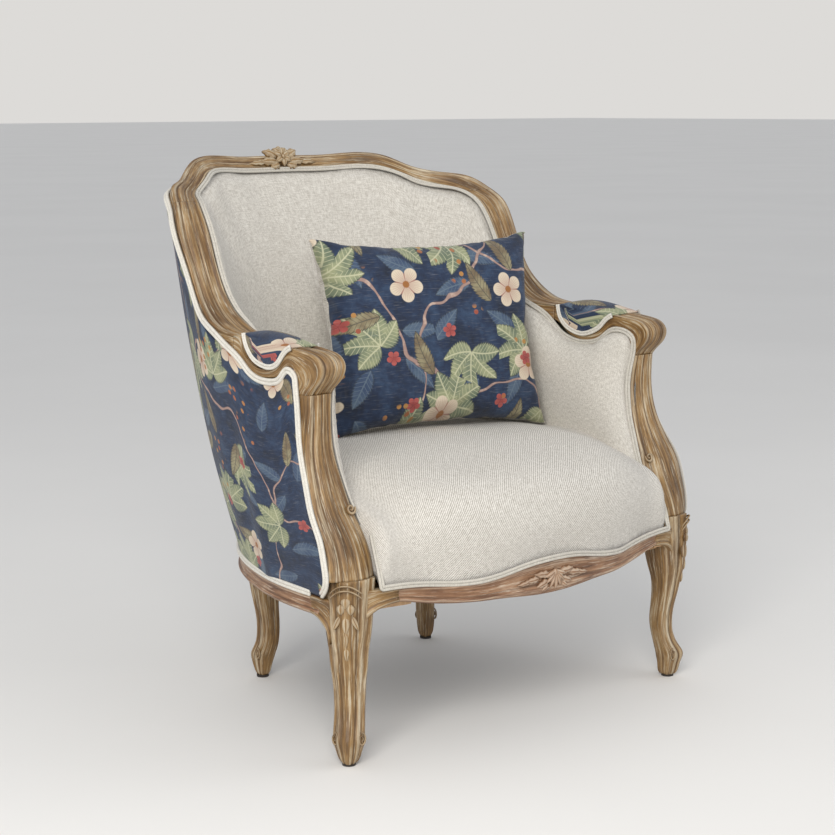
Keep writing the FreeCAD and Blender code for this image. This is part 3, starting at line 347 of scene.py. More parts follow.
front_leg_place, rear_leg_place = (367, -237), (194, 237)
front_rail_line = [(0, -318), (80, -315), (160, -305), (215, -288), (260, -277), (335, -268)]
side_rail_line = [(397, -213), (390, -78), (368.5, 8), (331.5, 99.5), (254, 211.5), (168.5, 284),
                  (87.5, 313), (0, 320)]
rail_points = 241
rail_line = spline(side_rail_line + [(-x, y) for x, y in reversed(side_rail_line[:-1])], rail_points)
rail_bottom, rail_top, rail_thick = 238.0, 268.0, 30.0
rear_joint_y, side_front_y = 251.0, -203.0
# Up a rail's face: share of its height, how far it stands out and its painted light, from painted shade in a
# groove to a painted highlight on a bead.
rail_face = [(0.0, -2.6, 0.4), (0.05, -0.6, 0.8), (0.14, 1.2, 1.0), (0.24, 0.8, 0.6), (0.30, -1.4, 0.05),
             (0.38, -2.0, 0.45), (0.52, -2.2, 0.5), (0.68, -1.6, 0.55), (0.78, -0.2, 0.6), (0.83, 0.6, 0.95),
             (0.93, 0.5, 0.8), (0.98, -0.4, 0.6), (1.0, -1.4, 0.3)]


def rail_rings(plan, normals, bottoms, top_z, thickness):
    """Rings of a moulded rail along plan points."""
    rings = []
    tops = np.broadcast_to(top_z, (len(plan),))
    for (x, y), (nx, ny), bottom, top in zip(plan, normals, bottoms, tops):
        ring = [(x + nx * rise, y + ny * rise, mix(bottom, top, up)) for up, rise, lit_share in rail_face]
        for up in (0.98, 0.5, 0.02):
            ring.append((x - nx * thickness, y - ny * thickness, mix(bottom, top, up)))
        rings.append(ring)
    # The rail's back faces take a low middling painted light, a little painted shade.
    painted_light = [lit_share for up, rise, lit_share in rail_face] + [0.3, 0.3, 0.3]
    return rings, painted_light


def plan_normals(plan, outward_y):
    """Normals of a line in plan, to the side where its middle faces outward_y."""
    run = unit(np.gradient(plan, axis=0))
    normals = np.stack([run[:, 1], -run[:, 0]], axis=1)
    if normals[len(plan) // 2, 1] * outward_y < 0:
        normals = -normals
    return normals


def smoothed(x, places, heights, reach):
    """Heights read between places, each averaged with its neighbours up to reach."""
    values = np.pad(np.interp(np.abs(x), places, heights), reach, "edge")
    return np.convolve(values, np.ones(2 * reach + 1) / (2 * reach + 1), "valid")


def build_rails(material):
    half = even(front_rail_line, 6)
    half = half[half[:, 0] < 300]
    plan = np.concatenate([(half[1:] * (-1, 1))[::-1], half])
    bottoms = smoothed(plan[:, 0], [0, 30, 70, 110, 160, 210, 250, 280, 300],
                       [233, 233, 236, 239.5, 240.5, 243, 248.5, 256, 259], 3)
    tops = smoothed(plan[:, 0], [0, 60, 110, 160, 200, 250, 310], [290, 286, 277, 272, 272, 278, 281], 4)
    rings, painted_light = rail_rings(plan, plan_normals(plan, -1), bottoms, tops, rail_thick)
    on_chair(joined("front_rail_moulded", [grid_parts(rings, painted_light)], material), "limed_oak", "front_rail")
    normals = plan_normals(rail_line, 1)
    joint = int(np.argmax(rail_line[:, 1] > rear_joint_y))
    start = int(np.argmax(rail_line[:, 1] > side_front_y))
    for name, first, last, node in (("side_rail_moulded_right", start, joint + 1, "side_rail_right"),
                                    ("back_rail_moulded", joint, rail_points - joint, "back_rail"),
                                    ("side_rail_moulded_left", rail_points - 1 - joint, rail_points - start,
                                     "side_rail_left")):
        part = slice(first, last)
        bottoms = np.full(last - first, rail_bottom)
        rings, painted_light = rail_rings(rail_line[part], normals[part], bottoms, rail_top, rail_thick)
        on_chair(joined(name, [grid_parts(rings, painted_light)], material), "limed_oak", node)


def ear_part(plan, outward_y, foot_z, radius, top_z):
    """A bracket along plan points, from the leg to where its arch meets the rail's underside."""
    plan = np.asarray(plan, float)
    normals = plan_normals(plan, outward_y)
    walked = lengths(plan[:, None, :])
    share = walked / walked[-1]
    bottoms = foot_z + np.sqrt(np.maximum(radius ** 2 - (radius * (1 - share)) ** 2, 0.0))
    rings, painted_light = rail_rings(plan, normals, bottoms, top_z, rail_thick - 2.0)
    rings = np.array(rings)
    rings[:, :, :2] += normals[:, None, :] * 0.4
    return grid_parts(rings, painted_light)


def build_legs(material):
    root_to_tip = [(354, -254), (348, -258), (341, -262.5), (330, -266), (318, -269.5), (306, -271),
                   (293, -272.8)]
    side_plan = even([(394, -224), (396.8, -212), (396.8, -200), (396.8, -188), (396.3, -176)], 4)
    front = [leg_part(front_leg_place, -1, front_leg_stations, 110),
             ear_part(root_to_tip, -1, foot_z=214.0, radius=43.0, top_z=281.0),
             ear_part(side_plan, 1, foot_z=196.0, radius=42.0, top_z=rail_top)]
    front += knee_carving()
    dressed_pair("front_leg_carved", front, material, "limed_oak", "front_leg")
    centre = int(np.argmin(np.hypot(rail_line[:, 0] - 218, rail_line[:, 1] - 246)))
    rear = [leg_part(rear_leg_place, 1, rear_leg_stations, 80),
            ear_part(rail_line[centre - 4:centre - 14:-1], 1, foot_z=205.0, radius=33.0, top_z=rail_top),
            ear_part(rail_line[centre + 4:centre + 14], 1, foot_z=205.0, radius=33.0, top_z=rail_top)]
    rear += foot_scrolls(rear_leg_place, 1, z=46.0, out=17.0, wide=18.0)
    dressed_pair("rear_leg_carved", rear, material, "limed_oak", "rear_leg")


# Carving
def carved_leaf(base, direction, normal, length, width, thick, arch=0.0, lobes=0, vein=0.6):
    """A carved leaf or petal that lies on a surface: base, the way it points and the way out."""
    direction, normal = unit(direction), unit(normal)
    side = np.cross(normal, direction)
    root = 2.0
    rings = []
    painted_light = []
    for t in np.linspace(0, 1, 13):
        wide = width / 2 * math.sin(math.pi * min(max(t, 0.02), 0.985) ** 0.75) ** 0.7
        if lobes:
            wide *= 1 + 0.2 * math.cos(2 * math.pi * lobes * t)
        swell = max(math.sin(math.pi * t), 0.0)
        spine = np.array(base) + direction * length * t + normal * arch * swell
        ring = []
        lit_share = []
        for c in (-1.0, -0.88, -0.6, -0.3, -0.08, 0.0, 0.08, 0.3, 0.6, 0.88, 1.0):
            dome = math.sqrt(max(1 - abs(c) ** 2.4, 0.0)) * thick * (0.35 + 0.65 * swell ** 0.5)
            groove = c == 0.0
            ring.append(spine + side * c * wide + normal * (dome - vein * groove))
            # Painted light: painted shade on the vein, the edges and the root, a painted highlight over the
            # dome.
            lit_share.append(0.15 if groove or abs(c) == 1.0 else 0.6 + 0.4 * (0.2 < abs(c) < 0.9))
        ring += [spine + side * wide - normal * root, spine - side * wide - normal * root]
        rings.append(ring)
        painted_light.append(lit_share + [0.1, 0.1])
    return grid_parts(rings, painted_light)


def carved_cord(points, radius, out):
    """A raised round line along points, thinner at both ends."""
    path = even(points, max(radius * 0.8, 1.2))
    run = unit(np.gradient(path, axis=0))
    side = unit(np.cross(run, unit(out)))
    lift = unit(np.cross(side, run))
    taper = np.sin(np.pi * np.linspace(0.06, 0.94, len(path))) ** 0.35
    corners = 10
    rings = []
    for k in range(corners):
        angle = 2 * math.pi * k / corners
        rings.append(path + (side * math.cos(angle) + lift * math.sin(angle)) * radius * taper[:, None])
    # Painted light: the cord's outward half as a painted highlight, the half towards the wood in painted
    # shade.
    painted_light = [0.95 if 0 < k < corners / 2 else 0.25 for k in range(corners)]
    return grid_parts(np.stack(rings, axis=1), painted_light)


def spiral(centre, across, up, radius, turns, start, stretch=1.0):
    """Points of a scroll that winds in to a small eye."""
    steps = int(26 * turns)
    points = []
    for t in np.arange(steps + 1) / (26 * turns):
        angle = start + 2 * math.pi * turns * t
        size = radius * (1 - 0.82 * t)
        points.append(np.array(centre) + unit(across) * math.cos(angle) * size
                      + unit(up) * math.sin(angle) * size * stretch)
    return points


def foot_scrolls(place, turn, z, out, wide):
    """The oval scroll on each side of a foot's toe."""
    along = unit([1.0, turn])
    parts = []
    for hand in (1, -1):
        across = np.array([-along[1], along[0]]) * hand
        spot = np.array(place) + along * out * 0.30 + across * wide * 0.80
        face = unit(np.array([*(along * 0.75 + across * 0.66), 0.0]))
        sideways = np.cross((0, 0, 1), face)
        centre = np.array([spot[0], spot[1], z]) + face * 1.5
        parts.append(carved_cord(spiral(centre, sideways, (0, 0, 1), 8.0, 1.6, math.pi / 2, 1.5), 1.7, face))
    return parts


def knee_carving():
    """Collar arcs, three berries and a trailing bud on the corner of the knee."""
    along = np.array([1.0, -1.0, 0.0]) / math.sqrt(2)
    across = np.array([1.0, 1.0, 0.0]) / math.sqrt(2)
    centre = np.array([*front_leg_place, 0.0])
    parts = []
    for z in (296, 288.5):
        arc = []
        for share in np.linspace(-1, 1, 13):
            depth = 33.5 - 14 * abs(share) ** 1.7
            arc.append(centre + along * depth + across * 25 * share + (0, 0, z - 15 * share ** 2))
        parts.append(carved_cord(arc, 1.7, along))
    for z, sideways, size in ((268, 0, 9.5), (258, 7.5, 8.5), (258, -7.5, 8.5)):
        base = centre + along * 26 + across * sideways + (0, 0, z + size * 0.9)
        parts.append(carved_leaf(base, (0, 0, -1), along, size * 1.9, size * 1.7, 6.0, vein=0.2))
    heights, outs = zip(*[station[:2] for station in front_leg_stations])
    for z, length, width in ((246, 27, 13), (221, 24, 7), (199, 25, 9)):
        out = np.interp(z - length / 2, heights, outs)
        base = centre + along * (out - 2.5) + (0, 0, z)
        parts.append(carved_leaf(base, (0, 0, -1), along, length, width, 4.5))
    for hand in (1, -1):
        base = centre + along * 22 + across * 9 * hand + (0, 0, 246)
        parts.append(carved_leaf(base, across * hand * 0.45 + np.array((0, 0, -1.0)),
                                 along + across * 0.35 * hand, 24, 9, 3.5))
    parts += foot_scrolls(front_leg_place, -1, z=44.0, out=24.0, wide=25.0)
    return parts


def leaf_spray(middle, up, out, leaves, arch, set_back=0.0):
    """Lobed leaves to both sides, set back more the further out they start."""
    parts = []
    for hand in (1, -1):
        for along, rise, slope, length, width, thick in leaves:
            base = middle + right_way * along * hand + up * rise - out * along * set_back
            parts.append(carved_leaf(base, right_way * hand + up * slope, out, length, width, thick,
                                     arch=arch, lobes=3))
    return parts


right_way, up_way, front_way = np.array(((1.0, 0.0, 0.0), (0.0, 0.0, 1.0), (0.0, -1.0, 0.0)))
# Each leaf of a spray: how far along and up it starts, its slope, length, width and thickness.
crest_leaves = [(10, 6, 0.50, 31, 19, 7), (12, -3, 0.02, 38, 19, 7), (8, -8, -0.30, 24, 15, 6),
                (38, -4, -0.04, 40, 10, 4), (3, 11, 1.3, 17, 17, 7)]
apron_leaves = [(10, 6, 0.10, 34, 13, 5), (12, -3, -0.35, 30, 12, 5), (32, 2, -0.05, 32, 11, 5),
                (50, 0, -0.12, 30, 8, 5), (14, -10, -0.7, 18, 9, 5)]


def build_crest_carving(material):
    """A flower over crossed leaves at the middle of the crest."""
    out = -into_wood[0]
    up = unit(edge_pairs[0][1] - edge_pairs[0][0])
    middle = edge_pairs[0].mean(axis=0) + out + up
    parts = leaf_spray(middle, up, out, crest_leaves, arch=2.5)
    for k in range(6):
        angle = math.pi / 2 + k * math.pi / 3
        way = right_way * math.cos(angle) + up * math.sin(angle)
        parts.append(carved_leaf(middle + up * 5 + out * 3 + way * 2, way, out, 17, 13, 6.5, arch=3.0))
    parts.append(carved_leaf(middle + up * 9 + out * 8, -up, out, 9, 9, 5, vein=0.0))
    parts.append(carved_leaf(middle + up * 13, up, out, 16, 18, 6, lobes=2))
    on_chair(joined("crest_flower_spray", parts, material), "limed_oak", "crest_carving")


def build_apron_carving(material):
    """A fan shell between leaf sprays on the front rail."""
    middle = np.array((0.0, -316.0, 259.0))
    parts = []
    for k in range(-3, 4):
        angle = -math.pi / 2 + k * 0.42
        way = right_way * math.cos(angle) + up_way * math.sin(angle)
        parts.append(carved_leaf(middle + up_way * 10 + front_way, way, front_way, 31 - abs(k) * 1.5,
                                 8.5, 6.0, arch=2.5))
    parts += leaf_spray(middle, up_way, front_way, apron_leaves, arch=2.0, set_back=0.06)
    parts.append(carved_leaf(middle + up_way * 14 + front_way * 3, -up_way, front_way, 12, 12, 5.5, vein=0.0))
    on_chair(joined("apron_shell_spray", parts, material), "limed_oak", "apron_carving")


def post_volute():
    """The small scroll where each post's inner bead ends over the seat."""
    out = unit((-0.1, -0.92, 0.35))
    centre = np.array((338.0, -209.5, 402.0))
    points = spiral(centre, (1.0, 0.0, 0.0), (0.0, 0.35, 0.94), 9.0, 1.5, math.pi * 0.9)
    return carved_cord(points, 2.4, out)


# Upholstery. Each column runs from its foot, under the seat line, up to the wood's edge.
inside_columns = [
    [(322, -208, 366), (325, -197, 388), (329, -184, 414), (332, -173, 440), (334, -163, 466),
     (336, -156, 494), (338, -153, 540), (341, -160, 582), (341, -166, 608)],
    [(314, -163, 392), (315, -148, 440), (319, -137, 510), (326, -138, 580), (334, -146, 625)],
    [(315, -128, 397), (311, -120, 455), (310, -114, 518), (320, -112, 586), (333, -113, 620)],
    [(316, -100, 402), (309, -96, 460), (306, -95, 520), (317, -93, 578), (333, -93, 607)],
    [(316, -40, 408), (306, -38, 470), (303, -36, 522), (314, -38, 572), (333, -41, 597)],
    [(318, 6, 408), (305, 6, 470), (301, 6, 530), (312, 5, 584), (333, 4, 608)],
    [(318, 28, 409), (304, 28, 475), (300, 30, 538), (308, 28, 598), (331, 26, 624)],
    [(317, 46, 410), (304, 50, 480), (300, 54, 548), (302, 62, 612), (317, 76, 656)]]
back_feet = [(11, (307, 84), (294, 96, 560)), (10, (300, 106), (288, 128, 585)),
             (9, (281, 126), (278, 156, 600)), (8, (256, 150), (262, 188, 625)),
             (7, (232, 170), (244, 214, 640)), (6, (209, 186), (226, 234, 650)),
             (5, (181, 203), (200, 254, 658)), (4, (166, 210), (186, 262, 661)),
             (3, (148, 217), (167, 271, 664)), (2, (127, 223), (142, 280, 666)),
             (1.5, (101, 228), (112, 287, 668)), (1, (62, 233), (70, 293, 670)),
             (0, (0, 235), (0, 297, 670))]


def on_ribbon(rows, index):
    """Rows of the ribbon read at a station, or between two of them."""
    low = int(index)
    return mix(np.asarray(rows[low]), np.asarray(rows[min(low + 1, len(rows) - 1)]), index - low)


def behind_inner_edge(index, off, deep):
    """A point off the ribbon's inner edge and deep behind its face."""
    inner, outer = on_ribbon(edge_pairs, index)
    return inner + unit(inner - outer) * off + on_ribbon(into_wood, index) * deep


back_columns = [[(x, y, 410), middle, tuple(behind_inner_edge(index, 3.5, 4.0))]
                for index, (x, y), middle in back_feet]


def whole_width(columns, rows, count):
    """A grid over the whole width, from columns of its right half, right end first."""
    half = np.array([spline(column, rows) for column in columns])
    return spline(np.concatenate([half, mirror(half[:-1])[::-1]]), count)


def grid_normals(grid, towards):
    """Normals of a grid, to the side where its middle faces towards."""
    across = np.gradient(grid, axis=0)
    up = np.gradient(grid, axis=1)
    normals = unit(np.cross(across, up))
    middle = normals[len(grid) // 2, grid.shape[1] // 2]
    return normals if np.dot(middle, towards) > 0 else -normals


def edge_distance(grid):
    """Distances in millimetres from the first row, the last row and the nearer end."""
    step_up = np.linalg.norm(np.diff(grid, axis=1), axis=2)
    from_foot = np.concatenate([np.zeros((len(grid), 1)), np.cumsum(step_up, axis=1)], axis=1)
    from_top = from_foot[:, -1:] - from_foot
    step = np.linalg.norm(np.diff(grid, axis=0), axis=2)
    from_end = np.concatenate([np.zeros((1, grid.shape[1])), np.cumsum(step, axis=0)])
    return from_foot, from_top, np.minimum(from_end, from_end[-1:] - from_end)


def rounded(distance, radius):
    """A quarter round: 0 at the edge and 1 from radius on."""
    share = np.clip(distance / radius, 0, 1)
    return np.sqrt(1 - (1 - share) ** 2)


def soft_waves(grid, size, amount, seed):
    """Low, seeded undulation of a stuffed surface."""
    noise = np.random.default_rng(seed)
    result = np.zeros(grid.shape[:2])
    for k in range(14):
        direction = unit(noise.normal(size=3))
        wave = 2 * math.pi / (size * noise.uniform(0.6, 1.8))
        result += np.sin(grid @ direction * wave + noise.uniform(0, 6.28)) * noise.uniform(0.4, 1.0)
    return result * amount / 5


def shell_piece(name, outer, normals, thickness, material):
    """A closed piece from a grid of face points and its thickness behind them."""
    inner = outer - normals * thickness
    rings = np.concatenate([outer, inner[:, ::-1]], axis=1)
    return joined(name, [grid_parts(rings)], material)


def pulls(count, beat, edge, reach, start, end):
    """Small gathers across an edge, which fade within reach of it."""
    return np.sin(np.arange(count) * beat)[:, None] * np.exp(-edge / reach) * soft_step(edge, start, end)


def build_inside(material):
    welt_lap = 9.0
    grid = whole_width(inside_columns + back_columns, 70, 260)
    normals = grid_normals(grid, (0, -1, 0))
    from_top, from_end = edge_distance(grid)[1:]
    puff = 9.0 * rounded(np.maximum(from_top - welt_lap, 0), 22) - 4.0
    puff += 4.0 * rounded(np.maximum(from_end - welt_lap, 0), 16)
    ripple = soft_waves(grid, 150, 1.5, 7) * soft_step(from_top, 4, 40)
    ripple += 0.9 * pulls(len(grid), 0.61, from_top, 22.0, 2, 9)
    grid = grid + normals * (puff + ripple)[:, :, None]
    piece = shell_piece("inside_back_and_arms", grid, grid_normals(grid, (0, -1, 0)), 16.0, material)
    on_chair(piece, "linen", "inside_arm_cover_right", "inside_arm_cover_left", "inside_back_cover",
             "inside_arm_padding_right", "inside_arm_padding_left", "inside_back_padding")


seat_feet = [288, 268, 274, 280, 282, 284]
seat_sections = [(0, -313, (-322, 345), (-303, 405), (-235, 440), (-20, 455), (233, 440)),
                 (150, -301, (-311, 345), (-291, 403), (-225, 437), (-20, 453), (207, 440)),
                 (250, -274, (-284, 342), (-266, 393), (-208, 424), (-40, 446), (132, 438)),
                 (296, -267, (-273, 337), (-259, 374), (-206, 401), (-60, 436), (62, 432)),
                 (316, -265, (-269, 333), (-256, 366), (-205, 391), (-70, 431), (24, 428)),
                 (322, -262, (-262, 328), (-250, 354), (-200, 380), (-70, 421), (16, 420))]


def build_seat(material):
    face_points = 64
    rings = []
    for (x, foot, *upper), low in zip(seat_sections, seat_feet):
        rear = upper[-1][0]
        face = spline([(x, foot, low), (x, foot - 4, low + 28)] + [(x, y, z) for y, z in upper], face_points)
        under = [(x, rear, 360), (x, rear, 330), (x, foot + 60, 330), (x, foot + 8, 292)]
        rings.append(np.concatenate([face, under]))
    rings = np.array(rings)
    full = spline(np.concatenate([rings[::-1], mirror(rings[1:])]), 170)
    top = full[:, :face_points]
    from_foot = edge_distance(top)[0]
    ripple = soft_waves(top, 170, 2.0, 3) * soft_step(from_foot, 4, 40)
    ripple += 0.7 * pulls(len(top), 0.74, from_foot, 26.0, 3, 10)
    full[:, :face_points] = top + grid_normals(top, (0, -0.3, 1)) * ripple[:, :, None]
    piece = joined("seat_upholstery", [grid_parts(full)], material)
    on_chair(piece, "linen", "seat_cover", "seat_padding")


outside_columns = [
    [(402, -219, 272), (406, -234, 290), (407, -235, 320), (408, -224, 364), (410, -209, 396),
     (403, -184, 440), (395, -163, 480), (392, -151, 510), (391, -144, 570), (392, -143, 606)],
    [(400, -190, 271), (405, -185, 330), (405, -170, 400), (398, -140, 480), (391, -126, 560),
     (390, -124, 622)],
    [(397, -150, 271), (403, -142, 340), (404, -128, 420), (398, -110, 500), (390, -92, 600)],
    [(394, -100, 271), (401, -90, 350), (404, -74, 430), (400, -58, 510), (390, -50, 596)],
    [(391, -60, 271), (399, -48, 350), (403, -28, 430), (401, -12, 520), (391, 2, 612)],
    [(382, -30, 270), (391, -16, 360), (397, 6, 450), (397, 26, 540), (392, 46, 640)]]
outside_feet = [(12, 371, 0), (11, 352, 50), (10, 328, 103), (9, 298, 148), (8, 270, 188), (7, 244, 220),
                (6, 218, 246), (5, 186, 270), (4, 152, 291), (3, 118, 304), (2, 84, 311), (1, 44, 318),
                (0, 0, 320)]
outside_swell = 17.0


def beside_outer_edge(index, further):
    """Where the outside welt lies along the wood's outer side, or further behind it."""
    inner, outer = edge_pairs[index]
    deep = float(np.interp(index, [7, 10], [20.0, 12.0])) + further
    return outer + into_wood[index] * deep + unit(outer - inner) * (1.8 - deep * 0.31)


def outside_column(index, x, y):
    """From the rail up to the welt behind the wood, bowed outward."""
    top = beside_outer_edge(index, 6.5)
    foot = np.array((x, y, 268.5))
    out = unit(np.array((x * 0.8, y + 120.0, 0.0)))
    shares = np.linspace(0, 1, 7)
    return [foot + (top - foot) * t + out * outside_swell * math.sin(math.pi * t) for t in shares]


outside_columns += [outside_column(*foot) for foot in outside_feet]


def build_outside(material):
    grid = whole_width(outside_columns, 90, 420)
    normals = grid_normals(grid, (0, 1, 0))
    from_foot, from_top, from_end = edge_distance(grid)
    fall = 3.0 * (rounded(np.minimum(from_foot, from_top), 9) - 1) + 2.0 * (rounded(from_end, 9) - 1)
    ripple = soft_waves(grid, 190, 1.0, 19)
    grid = grid + normals * (fall + ripple)[:, :, None]
    piece = shell_piece("outside_print", grid, grid_normals(grid, (0, 1, 0)), 3.0, material)
    on_chair(piece, "printed_cloth", "outside_arm_cover_right", "outside_arm_cover_left",
             "outside_back_cover")


# Welts: two cords side by side with the stitched line between them. These are the cords' radii.
inner_cord, outer_cord, rail_cord, pad_cord = 2.4, 2.9, 2.7, 2.3


def welt_profile(radius):
    """Across, height and painted light: one cord's arc with a painted highlight on its crown, the groove in
    painted shade, the other cord's arc, the underside in painted shade.
    """
    arc = []
    # Painted light: the cords' crowns lit, the stitched groove and the underside in painted shade.
    for k in range(9):
        angle = math.pi * (1 - k / 8)
        arc.append((math.cos(angle), radius * math.sin(angle) * 1.05, 0.25 + 0.75 * math.sin(angle) ** 0.6))
    first = [(radius * (across - 1), height, lit_share) for across, height, lit_share in arc[:-1]]
    second = [(radius * (across + 1), height, lit_share) for across, height, lit_share in arc[1:]]
    underside = [(side * radius * 1.9, -radius * 0.7, 0.2) for side in (1, -1)]
    return first + [(0.0, radius * 0.30, 0.0)] + second + underside


def welt_part(path, across, radius, spacing=3.0, lift=0.0):
    """A double welt along a path; across points from one cord to the other, in the surface."""
    path = np.asarray(path, float)
    across = np.asarray(across, float)
    steps = np.linalg.norm(np.diff(path, axis=0), axis=1)
    count = max(int(steps.sum() / spacing), 8)
    both = spline(np.concatenate([path, across * 40.0], axis=1), count)
    path, across = both[:, :3], unit(both[:, 3:])
    run = unit(np.gradient(path, axis=0))
    across = unit(across - run * np.sum(across * run, axis=1, keepdims=True))
    out = np.cross(run, across)
    path = path + out * lift
    profile = welt_profile(radius)
    beat = 1 + 0.02 * np.sin(np.arange(count) * 1.9)[:, None]
    rings = np.stack([path + across * s + out * h * beat for s, h, lit_share in profile], axis=1)
    return grid_parts(rings, [lit_share for s, h, lit_share in profile])


def orient(path, across, facing):
    """Path and across rows, turned end for end when their outward side would face inward."""
    path = np.asarray(path, float)
    across = np.asarray(across, float)
    middle = len(path) // 2
    run = path[min(middle + 1, len(path) - 1)] - path[middle - 1]
    if np.dot(np.cross(run, across[middle]), facing) < 0:
        return path[::-1], across[::-1]
    return path, across


def whole_line(half):
    """Path and across rows over both halves, from rows of a right half that ends mid-chair."""
    path = np.array([point for point, across in half], float)
    across = unit([across for point, across in half])
    return [np.concatenate([rows, mirror(rows[:-1])[::-1]]) for rows in (path, across)]


# Points along the wood's edge on a post and its arm, each with the way from wood to cloth.
post_inner_edge = [((323, -214, 374), (-0.6, 0.8, 0.0)), ((325, -206, 388), (-0.6, 0.8, 0.1)),
                   ((329, -193, 414), (-0.6, 0.8, 0.0)), ((332, -182, 440), (-0.6, 0.8, 0.0)),
                   ((334, -172, 466), (-0.6, 0.8, 0.0)), ((336, -165, 494), (-0.6, 0.8, 0.0)),
                   ((338, -162, 540), (-0.6, 0.8, 0.0)), ((341, -168, 580), (-0.5, 0.8, -0.2)),
                   ((340, -171, 604), (-0.4, 0.7, -0.6)), ((336, -162, 622), (-0.3, 0.2, -0.9)),
                   ((334, -146, 628), (-0.2, 0.0, -1.0)), ((333, -122, 627), (-0.2, 0.0, -1.0)),
                   ((333, -108, 619), (-0.2, 0.2, -1.0)), ((333, -92, 608), (-0.2, 0.2, -1.0)),
                   ((333, -67, 600), (-0.2, 0.0, -1.0)), ((333, -41, 598), (-0.2, 0.0, -1.0)),
                   ((333, -15, 602), (-0.2, 0.0, -1.0)), ((333, 6, 610), (-0.2, 0.2, -1.0)),
                   ((333, 22, 621), (-0.3, 0.3, -1.0)), ((328, 44, 641), (-0.6, 0.3, -0.8)),
                   ((318, 80, 659), (-0.9, 0.2, -0.4))]
post_outer_edge = [((401, -217, 275), (-0.2, 0.9, 0.0)), ((406, -236, 300), (0.1, 1.0, 0.0)),
                   ((408, -235, 325), (0.1, 1.0, 0.0)), ((409, -225, 364), (0.1, 1.0, 0.0)),
                   ((411, -210, 396), (0.0, 1.0, 0.1)), ((405, -189, 430), (-0.1, 1.0, 0.1)),
                   ((398, -171, 462), (0.0, 1.0, 0.0)), ((394, -159, 487), (0.0, 1.0, 0.0)),
                   ((391, -151, 512), (0.0, 1.0, 0.0)), ((390, -146, 560), (0.0, 1.0, 0.0)),
                   ((391, -143, 596), (0.0, 0.9, -0.3)), ((391, -134, 614), (0.0, 0.4, -0.9)),
                   ((391, -118, 618), (0.0, 0.1, -1.0)), ((391, -99, 602), (0.0, 0.2, -1.0)),
                   ((391, -75, 595), (0.0, 0.0, -1.0)), ((391, -40, 596), (0.0, 0.0, -1.0)),
                   ((391, -12, 607), (0.0, 0.1, -1.0)), ((391, 7, 621), (0.0, 0.2, -1.0)),
                   ((391, 48, 642), (0.0, 0.3, -0.9)), ((390, 80, 658), (0.0, 0.5, -0.8))]


seat_welt_half = [((323, -243, 364), (-1, 0, 0)), ((324, -252, 340), (-1, 0, 0)),
                  ((325, -263, 311), (-1, 0, 0)), ((325, -269, 292), (-1, -0.1, 0.2)),
                  ((319, -272, 284), (-0.4, 0, 1)), ((300, -274.5, 284), (0, 0, 1)),
                  ((250, -282, 281), (0, 0, 1)), ((200, -292, 275), (0, 0, 1)), ((160, -307, 275), (0, 0, 1)),
                  ((110, -314, 280), (0, 0, 1)), ((60, -320, 289), (0, 0, 1)), ((0, -326, 294), (0, 0, 1))]


def off_wood(edge, off):
    """Rows of a post's edge, moved off the wood towards the cloth."""
    return [(np.array(point) + unit(across) * off, across) for point, across in edge]


def lay_welt(name, path, across, facing, radius, material, slot_name, node, lift=0.0):
    """A double welt on the chair, its cords turned to the side that it faces."""
    path, across = orient(path, across, facing)
    welt = joined(name, [welt_part(path, across, radius, lift=lift)], material)
    on_chair(welt, slot_name, node)


def build_welts(grey, white):
    last = len(edge_pairs) - 3
    inner_gap, outer_gap = 4.4, 3.0
    half = off_wood(post_inner_edge, inner_gap)
    for inner, outer in edge_pairs[last::-1]:
        half.append((inner + unit(inner - outer) * inner_gap, inner - outer))
    lay_welt("inside_double_welt", *whole_line(half), (0, -1, 0), inner_cord, grey, "grey_welt",
             "inside_welt", lift=1.6)
    half = off_wood(post_outer_edge, outer_gap)
    for i in range(last, -1, -1):
        half.append((beside_outer_edge(i, 0.0), into_wood[i]))
    lay_welt("outside_double_welt", *whole_line(half), (0, 0, 1), outer_cord, white, "white_welt",
             "outside_welt")
    keep = rail_line[:, 1] > -212
    plan = rail_line[keep] + plan_normals(rail_line, 1)[keep]
    path = np.column_stack([plan, np.full(len(plan), rail_top + 4.0)])
    path[0] = (402.0, -221.0, rail_top + 5.0)
    path[-1] = mirror(path[0])
    across = np.tile(up_way, (len(path), 1))
    lay_welt("rail_double_welt", path[::6], across[::6], (0, 1, 0), rail_cord, white, "white_welt",
             "rail_welt")
    lay_welt("seat_double_welt", *whole_line(seat_welt_half), (0, -1, 0), inner_cord, grey, "grey_welt",
             "seat_welt")


# The arm pad's hollow in side view, as y and z, along the arm's inner and outer edge.
inner_u = [(17, 658), (12, 639), (1, 625), (-20, 614), (-49, 610), (-72, 616), (-92, 627), (-107, 641),
           (-121, 649)]
outer_u = [(-5, 664), (-8, 652), (-16, 638), (-29, 626), (-54, 617), (-75, 616), (-94, 623), (-107, 636),
           (-120, 647), (-130, 652)]
# Across the pad: x, its size against the hollow, and how far its top is crowned.
pad_sections = [(327.5, 0.72, 0.0), (328.2, 0.88, 0.2), (330.0, 0.97, 0.6), (333.0, 1.0, 2.5),
                (338, 1.0, 5.5), (348, 1.0, 8.5), (360, 1.0, 9.5), (372, 1.0, 8.0), (382, 1.0, 5.0),
                (388, 1.0, 2.0), (391, 0.97, 0.6), (393, 0.88, 0.2), (393.8, 0.72, 0.0)]


